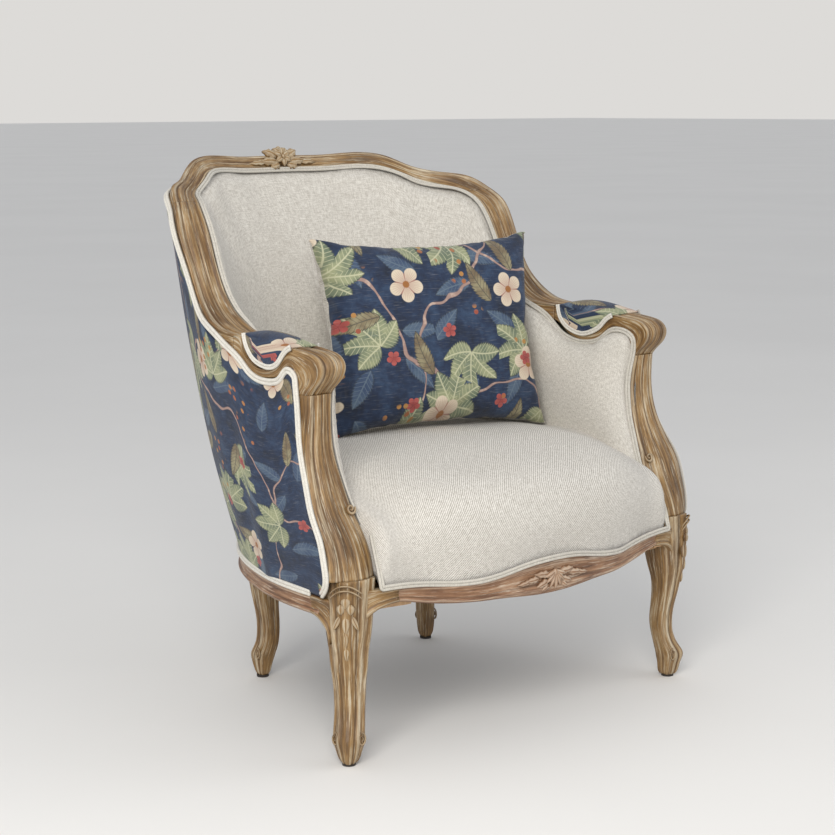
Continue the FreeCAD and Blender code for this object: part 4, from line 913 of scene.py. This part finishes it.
def build_arm_pads(print_cloth, white):
    inner = spline(inner_u, 26)
    outer = spline(outer_u, 26)
    rings = []
    for x, size, crown in pad_sections:
        under = mix(inner, outer, min(max((x - 330) / 61, 0.0), 1.0))
        t = np.linspace(0, 1, 28)[1:-1, None]
        top = mix(under[-1], under[0], t) + np.array([[0.0, 1.0]]) * (crown + 2.0) * np.sin(np.pi * t) ** 0.7
        loop = np.concatenate([under, top])
        middle = loop.mean(axis=0)
        loop = middle + (loop - middle) * size
        rings.append(np.column_stack([np.full(len(loop), x), loop]))
    part = grid_parts(spline(rings, 40))
    for pad in dressed_pair("arm_pad_print", [part], print_cloth, "printed_cloth", "arm_pad"):
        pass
    welts = []
    for x, line, out in ((330.0, inner_u, -1.0), (391.5, outer_u, 1.0)):
        path = [(x + out * 0.8, y, z) for y, z in line]
        across = unit([(0.0, -58 - y, 690 - z) for y, z in line])
        welts.append(welt_part(*orient(path, across, (out, 0, 0)), pad_cord, spacing=2.0))
    dressed_pair("arm_pad_welt_pair", welts, white, "white_welt", "arm_pad_welt")


# The cloth's outline under the seat: y and half the width there.
under_outline = [(-302, 70), (-296, 140), (-284, 200), (-268, 270), (-256, 318), (-216, 326), (-196, 332),
                 (-184, 376), (-78, 374), (8, 352), (60, 332), (100, 314), (160, 272), (205, 236), (214, 164),
                 (258, 164), (266, 182), (284, 148), (302, 70)]


def cloth_under(name, level, material, sag, inset, seed):
    """A flat cloth across the seat frame, cut round the legs, as points for a thin sheet."""
    y = np.linspace(under_outline[0][0], under_outline[-1][0], 122)
    half = np.interp(y, *zip(*under_outline)) - inset
    share = np.linspace(-1, 1, 81)
    grid = np.zeros((len(y), len(share), 3))
    grid[:, :, 0] = half[:, None] * share
    grid[:, :, 1] = y[:, None] * (1 - inset / 320)
    middle = (1 - share ** 2) * (1 - (y[:, None] / 305) ** 2)
    grid[:, :, 2] = level - sag * middle + soft_waves(grid, 120, 0.7, seed) * middle
    piece = shell_piece(name, grid, up_way, 0.6, material)
    area = np.trapz(2 * half, grid[:, 0, 1]) / 1e6
    flat = (2 * half.max() / 1000.0 + 0.004, np.ptp(grid[:, 0, 1]) / 1000.0 + 0.004)
    return piece, grid, flat, area


def evaluated_mesh(obj):
    """The object's mesh with its modifiers applied, as a mesh of its own."""
    return bpy.data.meshes.new_from_object(obj.evaluated_get(bpy.context.evaluated_depsgraph_get()))


def staple_points(grid):
    """Places just under the cloth, at even steps along its sides and its rear edge."""
    edge = np.concatenate([grid[:, 0], grid[::-1, -1]])
    walked = np.concatenate([[0.0], np.cumsum(np.linalg.norm(np.diff(edge, axis=0), axis=1))])
    spots = np.arange(20.0, walked[-1], 38.0)
    points = np.column_stack([np.interp(spots, walked, edge[:, k]) for k in range(3)])
    return points * (0.965, 0.975, 1.0) - (0, 0, 1.1)


def build_staples(grid, material):
    """Staples round the dust cloth, set out by a Geometry Nodes tree."""
    mesh = bpy.data.meshes.new("dust_cloth_staples")
    mesh.from_pydata([tuple(p) for p in metres(staple_points(grid))], [], [])
    carrier = new_object("dust_cloth_staples", mesh)
    tree = bpy.data.node_groups.new("staple_row", "GeometryNodeTree")
    tree.interface.new_socket(name="Geometry", in_out="INPUT", socket_type="NodeSocketGeometry")
    keys = {}
    sizes = (("Staple length", "Float", 0.010), ("Wire width", "Float", 0.0012), ("Seed", "Int", 5))
    for name, kind, value in sizes:
        socket = tree.interface.new_socket(name=name, in_out="INPUT", socket_type="NodeSocket" + kind)
        socket.default_value = value
        keys[socket.identifier] = value
    tree.interface.new_socket(name="Geometry", in_out="OUTPUT", socket_type="NodeSocketGeometry")
    add = tree.nodes.new
    entry, leave = add("NodeGroupInput"), add("NodeGroupOutput")
    size = add("ShaderNodeCombineXYZ")
    bar = add("GeometryNodeMeshCube")
    turn = add("FunctionNodeRandomValue")
    turn.data_type = "FLOAT_VECTOR"
    turn.inputs["Min"].default_value = (0.0, 0.0, -0.5)
    turn.inputs["Max"].default_value = (0.0, 0.0, 0.5)
    place = add("GeometryNodeInstanceOnPoints")
    solid = add("GeometryNodeRealizeInstances")
    paint = add("GeometryNodeSetMaterial")
    paint.inputs["Material"].default_value = material
    for giver, output, taker, socket in (
            (entry, "Staple length", size, "X"), (entry, "Wire width", size, "Y"),
            (entry, "Wire width", size, "Z"), (size, 0, bar, "Size"), (entry, "Seed", turn, "Seed"),
            (entry, "Geometry", place, "Points"), (bar, "Mesh", place, "Instance"),
            (turn, 0, place, "Rotation"), (place, "Instances", solid, "Geometry"),
            (solid, "Geometry", paint, "Geometry"), (paint, "Geometry", leave, "Geometry")):
        tree.links.new(giver.outputs[output], taker.inputs[socket])
    modifier = carrier.modifiers.new("staple_row", "NODES")
    modifier.node_group = tree
    for identifier, value in keys.items():
        modifier[identifier] = value
    carrier.data = evaluated_mesh(carrier)
    carrier.modifiers.clear()
    if not carrier.data.materials:
        carrier.data.materials.append(material)
    return carrier


def build_undersides(dust, hessian_cloth, steel):
    piece, grid, flat, area = cloth_under("dust_cloth_sheet", 260.0, dust, sag=3.0, inset=12.0, seed=4)
    on_chair(piece, "dust_cloth", "dust_cloth")
    staples = build_staples(grid, steel)
    on_chair(staples, "zinc_steel")
    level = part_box("hessian")[1][2] * 1000.0
    piece, grid, flat, area = cloth_under("hessian_sheet", level, hessian_cloth, sag=0.0, inset=22.0, seed=9)
    on_chair(piece, "hessian", "hessian")


# The loose cushion: sewn flat, blown up a little by a cloth simulation, then split at its seam.
cushion_wide, cushion_high, cushion_thick = 424.0, 356.0, 112.0
cushion_centre = (91.0, 104.0, 615.0)
cushion_lean, cushion_turn = math.radians(13.5), math.radians(-15.0)


def cushion_axes():
    """The cushion's own directions as it leans back, turned a little on the seat."""
    across = np.array([math.cos(cushion_turn), math.sin(cushion_turn), 0.0])
    flat_back = np.array([-math.sin(cushion_turn), math.cos(cushion_turn), 0.0])
    up = flat_back * math.sin(cushion_lean) + np.array([0, 0, math.cos(cushion_lean)])
    out = -flat_back * math.cos(cushion_lean) + np.array([0, 0, math.sin(cushion_lean)])
    return across, up, out


def cushion_grid():
    """The blown shape in its own plane: points with a front and a back face, knife-edged."""
    share = np.linspace(-1, 1, 57)
    a, b = np.meshgrid(share, share, indexing="ij")
    waist = 1 - 0.045 * (1 - b ** 2)
    pinch = 1 - 0.055 * (1 - a ** 2)
    corner = 1 + 0.018 * (a * b) ** 4
    x = a * cushion_wide / 2 * waist * corner
    y = b * cushion_high / 2 * pinch * corner
    dome = ((1 - a ** 4) * (1 - b ** 4)) ** 0.5 * (1 - 0.35 * (a ** 2 + b ** 2) / 2)
    z = cushion_thick / 2 * dome + 1.2
    front = np.stack([x, y, z], axis=2)
    back = np.stack([x, y, -z], axis=2)
    return grid_parts(np.concatenate([front, back[:, ::-1]], axis=1))


furthest_move = 0.014
cloth_settings = {"quality": 6, "mass": 0.25, "tension_stiffness": 18, "compression_stiffness": 14,
                  "shear_stiffness": 8, "bending_stiffness": 0.3, "use_pressure": True,
                  "uniform_pressure_force": 3.2, "shrink_min": -0.035}


def blown(obj):
    """Remesh evenly and let the cloth settle under its own pressure, each point within its cap."""
    remesh = obj.modifiers.new("even_mesh", "REMESH")
    remesh.mode = "VOXEL"
    remesh.voxel_size = 0.0055
    cloth = obj.modifiers.new("cloth", "CLOTH")
    for name, value in cloth_settings.items():
        setattr(cloth.settings, name, value)
    cloth.settings.effector_weights.gravity = 0
    cloth.collision_settings.use_collision = False
    cloth.collision_settings.use_self_collision = False
    start = np.array([vertex.co for vertex in evaluated_mesh(obj).vertices])
    for frame_number in range(1, 19):
        scene.frame_set(frame_number)
    settled = evaluated_mesh(obj)
    points = np.array([vertex.co for vertex in settled.vertices])
    if len(points) == len(start):
        moved = points - start
        far = np.linalg.norm(moved, axis=1, keepdims=True)
        points = start + moved * np.minimum(1, furthest_move / np.maximum(far, 1e-6))
    obj.modifiers.clear()
    scene.frame_set(1)
    obj.data = settled
    settled.vertices.foreach_set("co", points.astype("f4").ravel())


def cushion_half(source, name, hand, material):
    """One face of the cushion, closed at the seam, with its cloth laid out flat as the UVs."""
    seam = 0.001
    mesh = bmesh.new()
    mesh.from_mesh(source.data)
    bmesh.ops.bisect_plane(mesh, geom=mesh.verts[:] + mesh.edges[:] + mesh.faces[:],
                           plane_co=(0, 0, seam), plane_no=(0, 0, hand), clear_inner=True)
    rim = [edge for edge in mesh.edges if len(edge.link_faces) == 1]
    bmesh.ops.holes_fill(mesh, edges=rim, sides=0)
    bmesh.ops.triangulate(mesh, faces=[face for face in mesh.faces if len(face.verts) > 4])
    bmesh.ops.recalc_face_normals(mesh, faces=mesh.faces)
    layer = mesh.loops.layers.uv.new("cloth")
    for face in mesh.faces:
        face.smooth = True
        for loop in face.loops:
            loop[layer].uv = (loop.vert.co.x + 0.3, loop.vert.co.y + 0.3)
    across, up, out = cushion_axes()
    centre = metres([cushion_centre])[0]
    for vertex in mesh.verts:
        x, y, z = vertex.co
        vertex.co = Vector(centre + across * x + up * y + out * z)
    data = bpy.data.meshes.new(name)
    mesh.to_mesh(data)
    mesh.free()
    data.materials.append(material)
    return new_object(name, data)


def build_cushion(print_cloth, linen_cloth):
    points, faces = cushion_grid()[:2]
    mesh = bpy.data.meshes.new("cushion_raw")
    mesh.from_pydata([tuple(p / 1000.0) for p in points], [], faces)
    source = new_object("cushion_raw", mesh)
    blown(source)
    source.modifiers.new("finer", "SUBSURF").levels = 1
    source.data = evaluated_mesh(source)
    source.modifiers.clear()
    for name, hand, material, slot_name, nodes in (
            ("cushion_printed_front", 1, print_cloth, "printed_cloth", ("cushion_front", "cushion_filling")),
            ("cushion_linen_back", -1, linen_cloth, "linen", ("cushion_back",))):
        half = cushion_half(source, name, hand, material)
        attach(half, "cushion")
        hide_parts(*nodes)
    bpy.data.objects.remove(source, do_unlink=True)


# Materials. Colours are written as red, green and blue from 0 to 255, as a screen shows them.
def linear(colour):
    shares = [((c / 255.0 + 0.055) / 1.055) ** 2.4 if c > 10 else c / 3294.6 for c in colour]
    return (*shares, 1.0)


class Value:
    """A node's output, with which a node tree's sums can be written as sums."""

    def __init__(self, nodes, socket):
        self.nodes = nodes
        self.socket = socket

    def __add__(self, other):
        return self.nodes.math("ADD", self, other)

    def __radd__(self, other):
        return self.nodes.math("ADD", other, self)

    def __sub__(self, other):
        return self.nodes.math("SUBTRACT", self, other)

    def __rsub__(self, other):
        return self.nodes.math("SUBTRACT", other, self)

    def __mul__(self, other):
        return self.nodes.math("MULTIPLY", self, other)

    def __truediv__(self, other):
        return self.nodes.math("DIVIDE", self, other)

    def __pow__(self, other):
        return self.nodes.math("POWER", self, other)

    def __abs__(self):
        return self.nodes.math("ABSOLUTE", self)


class Nodes:
    """A short hand for building node trees."""

    def __init__(self, tree):
        self.tree = tree

    def put(self, socket, value):
        """Link a value to a socket or set it there; a plain value for a colour is a colour."""
        if isinstance(value, Value):
            self.tree.links.new(value.socket, socket)
        elif socket.type == "RGBA":
            socket.default_value = linear(value)
        else:
            socket.default_value = value

    def made(self, kind, wanted, inputs=(), **settings):
        """A new node with these settings and inputs, given as its wanted output or outputs."""
        node = self.tree.nodes.new(kind)
        for name, value in settings.items():
            setattr(node, name, value)
        for name, value in dict(inputs).items():
            self.put(node.inputs[name], value)
        if isinstance(wanted, tuple):
            return [Value(self, node.outputs[name]) for name in wanted]
        return Value(self, node.outputs[wanted])

    def math(self, operation, *values, clamp=False):
        return self.made("ShaderNodeMath", 0, enumerate(values), operation=operation, use_clamp=clamp)

    def vector(self, operation, *values):
        wanted = "Value" if operation == "LENGTH" else "Vector"
        return self.made("ShaderNodeVectorMath", wanted, enumerate(values), operation=operation)

    def sine(self, value):
        return self.math("SINE", value)

    def step(self, value, low, high):
        return self.made("ShaderNodeMapRange", "Result", {"Value": value, "From Min": low, "From Max": high},
                         interpolation_type="SMOOTHSTEP")

    def mix(self, share, a, b):
        return self.made("ShaderNodeMix", 2, {0: share, 6: a, 7: b}, data_type="RGBA")

    def ramp(self, value, stops):
        node = self.tree.nodes.new("ShaderNodeValToRGB")
        elements = node.color_ramp.elements
        while len(elements) < len(stops):
            elements.new(0.5)
        for element, (place, colour) in zip(elements, stops):
            element.position = place
            element.color = linear(colour)
        self.put(node.inputs[0], value)
        return Value(self, node.outputs[0])

    def noise(self, vector, scale, detail=3.0, rough=0.5, warp=0.0):
        return self.made("ShaderNodeTexNoise", "Fac", {"Vector": vector, "Scale": scale, "Detail": detail,
                                                       "Roughness": rough, "Distortion": warp})

    def split(self, vector):
        return self.made("ShaderNodeSeparateXYZ", (0, 1), {0: vector})

    def scaled(self, vector, x, y, z=1.0):
        return self.vector("MULTIPLY", vector, (x, y, z))

    def cloth_uv(self):
        return self.made("ShaderNodeUVMap", 0, uv_map="cloth")

    def object_place(self):
        return self.made("ShaderNodeTexCoord", "Object")

    def painted_light(self):
        return self.made("ShaderNodeAttribute", "Fac", attribute_name="painted_light")

    def surface(self, colour, height, strength, distance):
        """Colour and bump for the material's shader."""
        shader = self.tree.nodes["Principled BSDF"]
        self.put(shader.inputs["Base Color"], colour)
        bump = {"Height": height, "Strength": strength, "Distance": distance}
        self.put(shader.inputs["Normal"], self.made("ShaderNodeBump", 0, bump))


def new_material(name, roughness, sheen=0.0, metallic=0.0):
    """A material and the helper for its node tree."""
    material = bpy.data.materials.new(name)
    material.use_nodes = True
    shader = material.node_tree.nodes["Principled BSDF"]
    shader.inputs["Roughness"].default_value = roughness
    shader.inputs["Metallic"].default_value = metallic
    if sheen:
        shader.inputs["Sheen Weight"].default_value = sheen
        shader.inputs["Sheen Roughness"].default_value = 0.5
    return material, Nodes(material.node_tree)


def limed_oak(name, dark, middle, light, lime):
    """Oak with lime wax in its grain: streaks along the piece, grooves in painted shade, ridges paled with
    lime as a painted highlight.
    """
    material, n = new_material(name, 0.52)
    place = n.cloth_uv()
    along = n.scaled(place, 7.0, 150.0, 40.0)
    streak = n.noise(along, 1.0, 5.0, 0.68, 0.35)
    pores = n.noise(n.scaled(place, 40.0, 700.0, 250.0), 1.0, 3.0, 0.6)
    patch = n.noise(n.object_place(), 14.0, 3.0, 0.55)
    wood = n.ramp(streak * 0.75 + patch * 0.35, [(0.36, dark), (0.48, middle), (0.60, light), (0.74, lime)])
    lit_share = n.painted_light()
    # Painted shade in the grooves and a painted highlight on the ridges, read from the moulding's
    # painted-light attribute.
    groove = 1.0 - n.step(lit_share, 0.05, 0.42)
    ridge = n.step(lit_share, 0.72, 1.0) * n.step(streak, 0.34, 0.62)
    # Painted shade darkens the grooves to deep brown; the painted highlight pales the ridges with lime.
    wood = n.mix(groove * 0.62, wood, (72, 50, 30))
    wood = n.mix(ridge * 0.55, wood, lime)
    wood = n.mix(n.step(pores, 0.53, 0.66) * 0.6, wood, dark)
    wood = n.mix(n.step(n.noise(along, 2.3, 4.0, 0.65), 0.54, 0.66) * 0.55, wood, lime)
    n.surface(wood, streak * 0.6 + pores * 0.5, 0.35, 0.0009)
    return material


def woven(name, base, warp, pitch, contrast=0.10, twill=False, groove=None):
    """A plain or twill weave of the given thread pitch in metres, with slubs, and with painted shade in the
    groove colour where the painted light is low, when a groove colour is given.
    """
    material, n = new_material(name, 0.82, sheen=0.15)
    place = n.cloth_uv()
    x, y = n.split(place)
    wobble = (n.noise(place, 60.0, 2.0) - 0.5) * (pitch * 0.5)
    turn = 2 * math.pi / pitch
    u = (x + wobble) * turn
    v = (y + wobble) * turn
    if twill:
        threads = n.sine(u + v) * 0.38 + n.sine(u * 2.0 - v) * 0.12
    else:
        threads = n.sine(u) * n.sine(v) * 0.5
    weave = threads + 0.5
    slub_a = n.noise(n.scaled(place, 90.0, 520.0), 1.0, 3.0, 0.65)
    slub_b = n.noise(n.scaled(place, 520.0, 90.0), 1.0, 3.0, 0.65)
    slubs = slub_a * 0.5 + slub_b * 0.5
    cloud = n.noise(n.object_place(), 9.0, 2.0)
    colour = n.mix(n.step(weave * 0.28 + slubs * 0.72, 0.36, 0.62), warp, base)
    colour = n.mix(n.step(cloud, 0.45, 0.7) * contrast, colour, warp)
    if groove:
        # Painted shade: the groove colour fills the stitched groove and the cords' undersides.
        colour = n.mix(1.0 - n.step(n.painted_light(), 0.05, 0.5), colour, groove)
    n.surface(colour, weave * 0.6 + slubs * 0.8, 0.45, pitch * 0.35)
    return material


def grained(name, dark, light, roughness, scale, metallic=0.0):
    """A plain surface with a fine grain between two colours."""
    material, n = new_material(name, roughness, metallic=metallic)
    grain = n.noise(n.scaled(n.object_place(), 1.0, 1.0, 0.3), scale, 4.0, 0.6)
    n.surface(n.mix(n.step(grain, 0.3, 0.7), dark, light), grain, 0.2, 0.0008)
    return material


# Print. Each motif is a node group laid once in every cell of a loose grid.
def motif_group(name, given):
    """A new group with these inputs, its node helper and its inputs as values."""
    tree = bpy.data.node_groups.new(name, "ShaderNodeTree")
    add_socket = tree.interface.new_socket
    add_socket(name="Place", in_out="INPUT", socket_type="NodeSocketVector")
    for label, value in given.items():
        add_socket(name=label, in_out="INPUT", socket_type="NodeSocketFloat").default_value = value
    n = Nodes(tree)
    entry = tree.nodes.new("NodeGroupInput")
    return tree, n, {socket.name: Value(n, socket) for socket in entry.outputs}


def drawn_motif(tree, n, drawn):
    """The group with its named outputs."""
    for label in drawn:
        tree.interface.new_socket(name=label, in_out="OUTPUT", socket_type="NodeSocketFloat")
    leave = tree.nodes.new("NodeGroupOutput")
    for label, value in drawn.items():
        n.put(leave.inputs[label], value)
    return tree


def cell_spot(n, place, density, scatter):
    """The place within a cell of a loose grid, and the cell's own random values."""
    colour, middle = n.made("ShaderNodeTexVoronoi", ("Color", "Position"),
                            {"Vector": place, "Scale": density, "Randomness": scatter},
                            voronoi_dimensions="2D")
    chances = n.made("ShaderNodeSeparateColor", (0, 1, 2), {0: colour})
    return n.vector("SUBTRACT", place, middle), chances


full_turn = 6.283
leaflet_turn = 0.74
most_bend = 0.030


def leaf_group():
    """A serrated leaf, or a hand of leaflets, with veins."""
    tree, n, given = motif_group("leaf", {"Density": 12.0, "Length": 0.07, "Half width": 0.016,
                                          "Turn": 0.0, "Start": 0.5, "Leaflets": 0.0})
    spot, chances = cell_spot(n, given["Place"], given["Density"], 0.6)
    x, y = n.split(spot)
    heading = n.math("ARCTAN2", y, x) - chances[0] * full_turn - given["Turn"]
    heading = n.math("WRAP", heading, math.pi, -math.pi)
    most = given["Leaflets"]
    nearest = n.math("MINIMUM", n.math("ROUND", heading / leaflet_turn), most)
    nearest = n.math("MAXIMUM", nearest, most * -1.0)
    heading = heading - nearest * leaflet_turn
    reach = n.vector("LENGTH", spot)
    along = reach * n.math("COSINE", heading) / (given["Length"] * (1.0 - abs(nearest) * 0.15))
    t = n.math("ADD", along, given["Start"], clamp=True)
    side = reach * n.sine(heading) + (chances[1] - 0.5) * most_bend * (t * t)
    share = abs(side) / given["Half width"]
    belly = n.sine(t ** 0.8 * math.pi) ** 0.75
    teeth = n.math("FRACT", t * 13.0 - share)
    inside = belly * (0.86 + teeth * 0.20) - share
    rib = 1.0 - n.step(share, 0.03, 0.09)
    comb = n.math("FRACT", t * 9.0 - share * 1.5)
    fine = 1.0 - n.step(abs(comb - 0.5), 0.04, 0.13)
    return drawn_motif(tree, n, {"Mask": n.step(inside, 0.0, 0.05),
                                 "Vein": n.math("MAXIMUM", rib, fine * 0.75),
                                 "Edge": 1.0 - n.step(inside, 0.05, 0.20), "Chance": chances[2]})


def flower_group():
    """A five-petalled flower with a stamen disc."""
    tree, n, given = motif_group("flower", {"Density": 8.0, "Radius": 0.017})
    spot, chances = cell_spot(n, given["Place"], given["Density"], 0.7)
    x, y = n.split(spot)
    angle = n.math("ARCTAN2", y, x) + chances[0] * full_turn
    reach = n.vector("LENGTH", spot) / given["Radius"]
    lobe = abs(n.math("COSINE", angle * 2.5))
    edge = 0.55 + lobe ** 0.6 * 0.45
    lines = abs(n.sine(angle * 20.0))
    shade = n.math("MULTIPLY", lines, 1.0 - reach, clamp=True)
    return drawn_motif(tree, n, {"Mask": n.step(edge - reach, 0.0, 0.06),
                                 "Shade": n.math("MAXIMUM", shade, 1.0 - n.step(lobe, 0.05, 0.30)),
                                 "Heart": 1.0 - n.step(reach, 0.16, 0.22), "Chance": chances[2]})


def vine_mask(n, place, count, sway, wave, thick, turn):
    """Thin branches that wander across the cloth, in metres."""
    turned = n.made("ShaderNodeVectorRotate", 0, {"Vector": place, "Angle": turn})
    x, y = n.split(turned)
    drift = n.sine(x * wave) * sway
    twist = (n.noise(turned, 11.0, 2.0) - 0.5) * (sway * 2.2)
    line = n.math("FRACT", (y + drift + twist) * count)
    swell = (n.noise(place, 35.0, 1.0) + 0.35) * (thick * count)
    gap = swell - abs(line - 0.5)
    return n.step(gap, 0.0, 0.0012 * count), n.step(gap, 0.0, thick * count * 0.5)


def printed(name, scale):
    """Leaves, flowers, branches and berries on a mottled navy ground."""
    material, n = new_material(name, 0.78, sheen=0.1)
    place = n.scaled(n.cloth_uv(), scale, scale)
    leaf, flower = leaf_group(), flower_group()
    tone = n.noise(place, 26.0, 5.0, 0.62, 0.4) * 0.7 + n.noise(place, 130.0, 3.0, 0.6) * 0.3
    colour = n.ramp(tone, [(0.36, (12, 24, 44)), (0.50, (22, 40, 68)), (0.66, (44, 66, 94))])

    def lay(group, offset, **sizes):
        inputs = {label.replace("_", " "): size for label, size in sizes.items()}
        inputs["Place"] = n.vector("ADD", place, (*offset, 0.0))
        return n.made("ShaderNodeGroup", (0, 1, 2, 3), inputs, node_tree=group)

    def leaves(under, offset, density, length, half_width, light, dark, vein, share=0.0, leaflets=0.0):
        mask, veins, edge, chance = lay(leaf, offset, Density=density, Length=length, Half_width=half_width,
                                        Turn=share * 7, Start=0.0 if leaflets else 0.5, Leaflets=leaflets)
        body = n.mix(n.step(n.noise(place, 40.0, 3.0), 0.35, 0.65), dark, light)
        body = n.mix(veins * 0.8, body, vein)
        body = n.mix(edge * 0.75, body, (30, 36, 40))
        return n.mix(mask * n.math("GREATER_THAN", chance, share), under, body)

    def flowers(under, offset, density, radius, light, dark, share, stamens=None):
        mask, shade, heart, chance = lay(flower, offset, Density=density, Radius=radius)
        petal = n.mix(shade, light, dark)
        if stamens:
            petal = n.mix(heart, petal, stamens)
        return n.mix(mask * n.math("GREATER_THAN", chance, share), under, petal)

    colour = leaves(colour, (0.31, 0.17), 13.0, 0.058, 0.013, (74, 92, 112), (50, 68, 96), (96, 112, 126))
    for count, sway, wave, thick, turn in ((5.2, 0.030, 21.0, 0.0036, 0.6), (4.1, 0.036, 16.0, 0.0030, 2.0)):
        mask, core = vine_mask(n, place, count, sway, wave, thick, turn)
        branch = n.mix(core, (74, 56, 58), (156, 128, 118))
        branch = n.mix(n.step(n.noise(place, 90.0, 2.0), 0.5, 0.7), branch, (188, 162, 146))
        colour = n.mix(mask, colour, branch)
    colour = leaves(colour, (0.21, 0.36), 9.0, 0.062, 0.017, (150, 154, 118), (102, 114, 92),
                    (196, 194, 160), 0.16, 2.0)
    colour = leaves(colour, (0.57, 0.43), 10.5, 0.064, 0.013, (150, 142, 110), (112, 96, 72),
                    (74, 70, 60), 0.30)
    colour = flowers(colour, (0.13, 0.71), 7.4, 0.026, (214, 200, 176), (160, 116, 104), 0.35, (150, 96, 44))
    colour = flowers(colour, (0.83, 0.29), 10.5, 0.0105, (176, 84, 76), (112, 40, 44), 0.55)
    spot, chances = cell_spot(n, place, 62.0, 0.8)
    berry = 1.0 - n.step(n.vector("LENGTH", spot), 0.0031, 0.0038)
    cluster = n.step(n.noise(place, 13.0, 1.0), 0.60, 0.64)
    berry = berry * cluster * n.math("GREATER_THAN", chances[0], 0.4)
    colour = n.mix(berry, colour, n.mix(chances[1], (176, 132, 66), (150, 74, 54)))
    x, y = n.split(n.cloth_uv())
    thread_turn = 2 * math.pi / 0.0011
    weave = n.sine(x * thread_turn) * n.sine(y * thread_turn) * 0.5 + 0.5
    slub = n.noise(n.scaled(n.cloth_uv(), 40.0, 600.0), 1.0, 2.0)
    colour = n.mix((1.0 - weave) * 0.16, colour, (12, 18, 34))
    colour = n.mix(n.step(slub, 0.55, 0.75) * 0.12, colour, (190, 190, 190))
    n.surface(colour, weave * 0.7 + slub * 0.6, 0.4, 0.0004)
    return material


# Everything is built and dressed
oak = limed_oak("limed_oak", (64, 44, 22), (110, 80, 43), (146, 114, 69), (208, 198, 174))
rail_oak = limed_oak("limed_oak_rails", (72, 48, 32), (120, 84, 58), (152, 116, 86), (206, 190, 170))
beech = grained("beech", (190, 152, 112), (212, 178, 138), 0.6, 90.0)
inner_linen = woven("oatmeal_linen", (220, 216, 207), (160, 153, 142), 0.0022, 0.12)
seat_linen = woven("oatmeal_twill", (220, 216, 208), (158, 152, 142), 0.0046, twill=True)
# The welts' groove colours are painted shade in their stitched grooves.
grey_cord = woven("grey_welt_cloth", (206, 201, 190), (168, 163, 152), 0.0012, groove=(92, 92, 94))
white_cord = woven("white_welt_cloth", (224, 220, 210), (190, 185, 174), 0.0012, groove=(150, 146, 138))
print_cloth = printed("navy_botanical_print", 0.78)
dust_black = woven("black_dust_cloth", (38, 38, 40), (20, 20, 22), 0.0014)
jute = woven("jute_hessian", (176, 140, 92), (120, 90, 54), 0.0028)
zinc = grained("zinc_steel", (150, 152, 156), (186, 188, 192), 0.38, 160.0, metallic=0.9)
glide_brown = grained("dark_glide", (30, 24, 20), (50, 42, 36), 0.45, 120.0)
foam = grained("cream_foam", (222, 206, 158), (238, 226, 186), 0.9, 220.0)

node_materials = {"beech_frame": beech, "zinc_steel": zinc, "glide": glide_brown, "foam": foam,
                  "limed_oak": oak, "linen": inner_linen, "printed_cloth": print_cloth,
                  "grey_welt": grey_cord, "white_welt": white_cord, "hessian": jute,
                  "dust_cloth": dust_black}

build_crest_and_stiles(oak)
build_arms(oak)
build_rails(rail_oak)
build_legs(oak)
build_crest_carving(oak)
build_apron_carving(rail_oak)
build_inside(inner_linen)
build_seat(seat_linen)
build_outside(print_cloth)
build_welts(grey_cord, white_cord)
build_arm_pads(print_cloth, white_cord)
build_undersides(dust_black, jute, zinc)
build_cushion(print_cloth, inner_linen)

for part in frame["record"]["subparts"]:
    node = frame["nodes"][part["node"]]
    node.data.materials.clear()
    node.data.materials.append(node_materials[part["material_slot"]])

# A pale room
floor_reach = 90
floor_mesh = bpy.data.meshes.new("floor")
floor_mesh.from_pydata([(-floor_reach, -floor_reach, 0), (floor_reach, -floor_reach, 0),
                        (floor_reach, floor_reach, 0), (-floor_reach, floor_reach, 0)], [], [(0, 1, 2, 3)])
floor_mesh.materials.append(grained("pale_floor", (226, 224, 220), (229, 227, 223), 0.8, 0.6))
new_object("floor", floor_mesh)

scene.world = bpy.data.worlds.new("soft_white")
scene.world.use_nodes = True
sky = Nodes(scene.world.node_tree)
background = scene.world.node_tree.nodes["Background"]
seen = sky.made("ShaderNodeLightPath", "Is Camera Ray")
sky.put(background.inputs["Color"], sky.mix(seen, (214, 216, 220), (226, 224, 221)))
background.inputs["Strength"].default_value = 0.95


def area_lamp(name, energy, size, place, colour):
    """A square lamp that faces the middle of the chair."""
    light = bpy.data.lights.new(name, "AREA")
    light.energy = energy
    light.size = size
    light.color = colour
    lamp = new_object(name, light)
    lamp.location = place
    chair_middle = Vector((0, 0, 0.5))
    lamp.rotation_euler = (chair_middle - lamp.location).to_track_quat("-Z", "Y").to_euler()


area_lamp("window", energy=115.0, size=2.2, place=(-2.6, -2.3, 2.3), colour=(1.0, 0.98, 0.95))
area_lamp("fill", energy=18.0, size=3.0, place=(2.6, -2.2, 1.9), colour=(1.0, 1.0, 1.0))

# The photograph's view: 40 degrees to the left of the chair's front and 9 degrees down
view_azimuth, view_tilt, view_roll = math.radians(-40.13), math.radians(9.34), math.radians(-0.15)
camera_data = bpy.data.cameras.new("photo_camera")
camera_data.sensor_width = 36.0
camera_data.lens = 82.47
camera = new_object("photo_camera", camera_data)
camera.location = (-2.139, -2.508 + shift_y, 1.026)
camera.rotation_mode = "XYZ"
look = Vector((-math.sin(view_azimuth) * math.cos(view_tilt), math.cos(view_azimuth) * math.cos(view_tilt),
               -math.sin(view_tilt)))
camera.rotation_euler = look.to_track_quat("-Z", "Y").to_euler()
camera.rotation_euler.rotate_axis("Z", view_roll)
scene.camera = camera
scene.view_settings.view_transform = "Standard"
scene.render.resolution_x = scene.render.resolution_y = 835
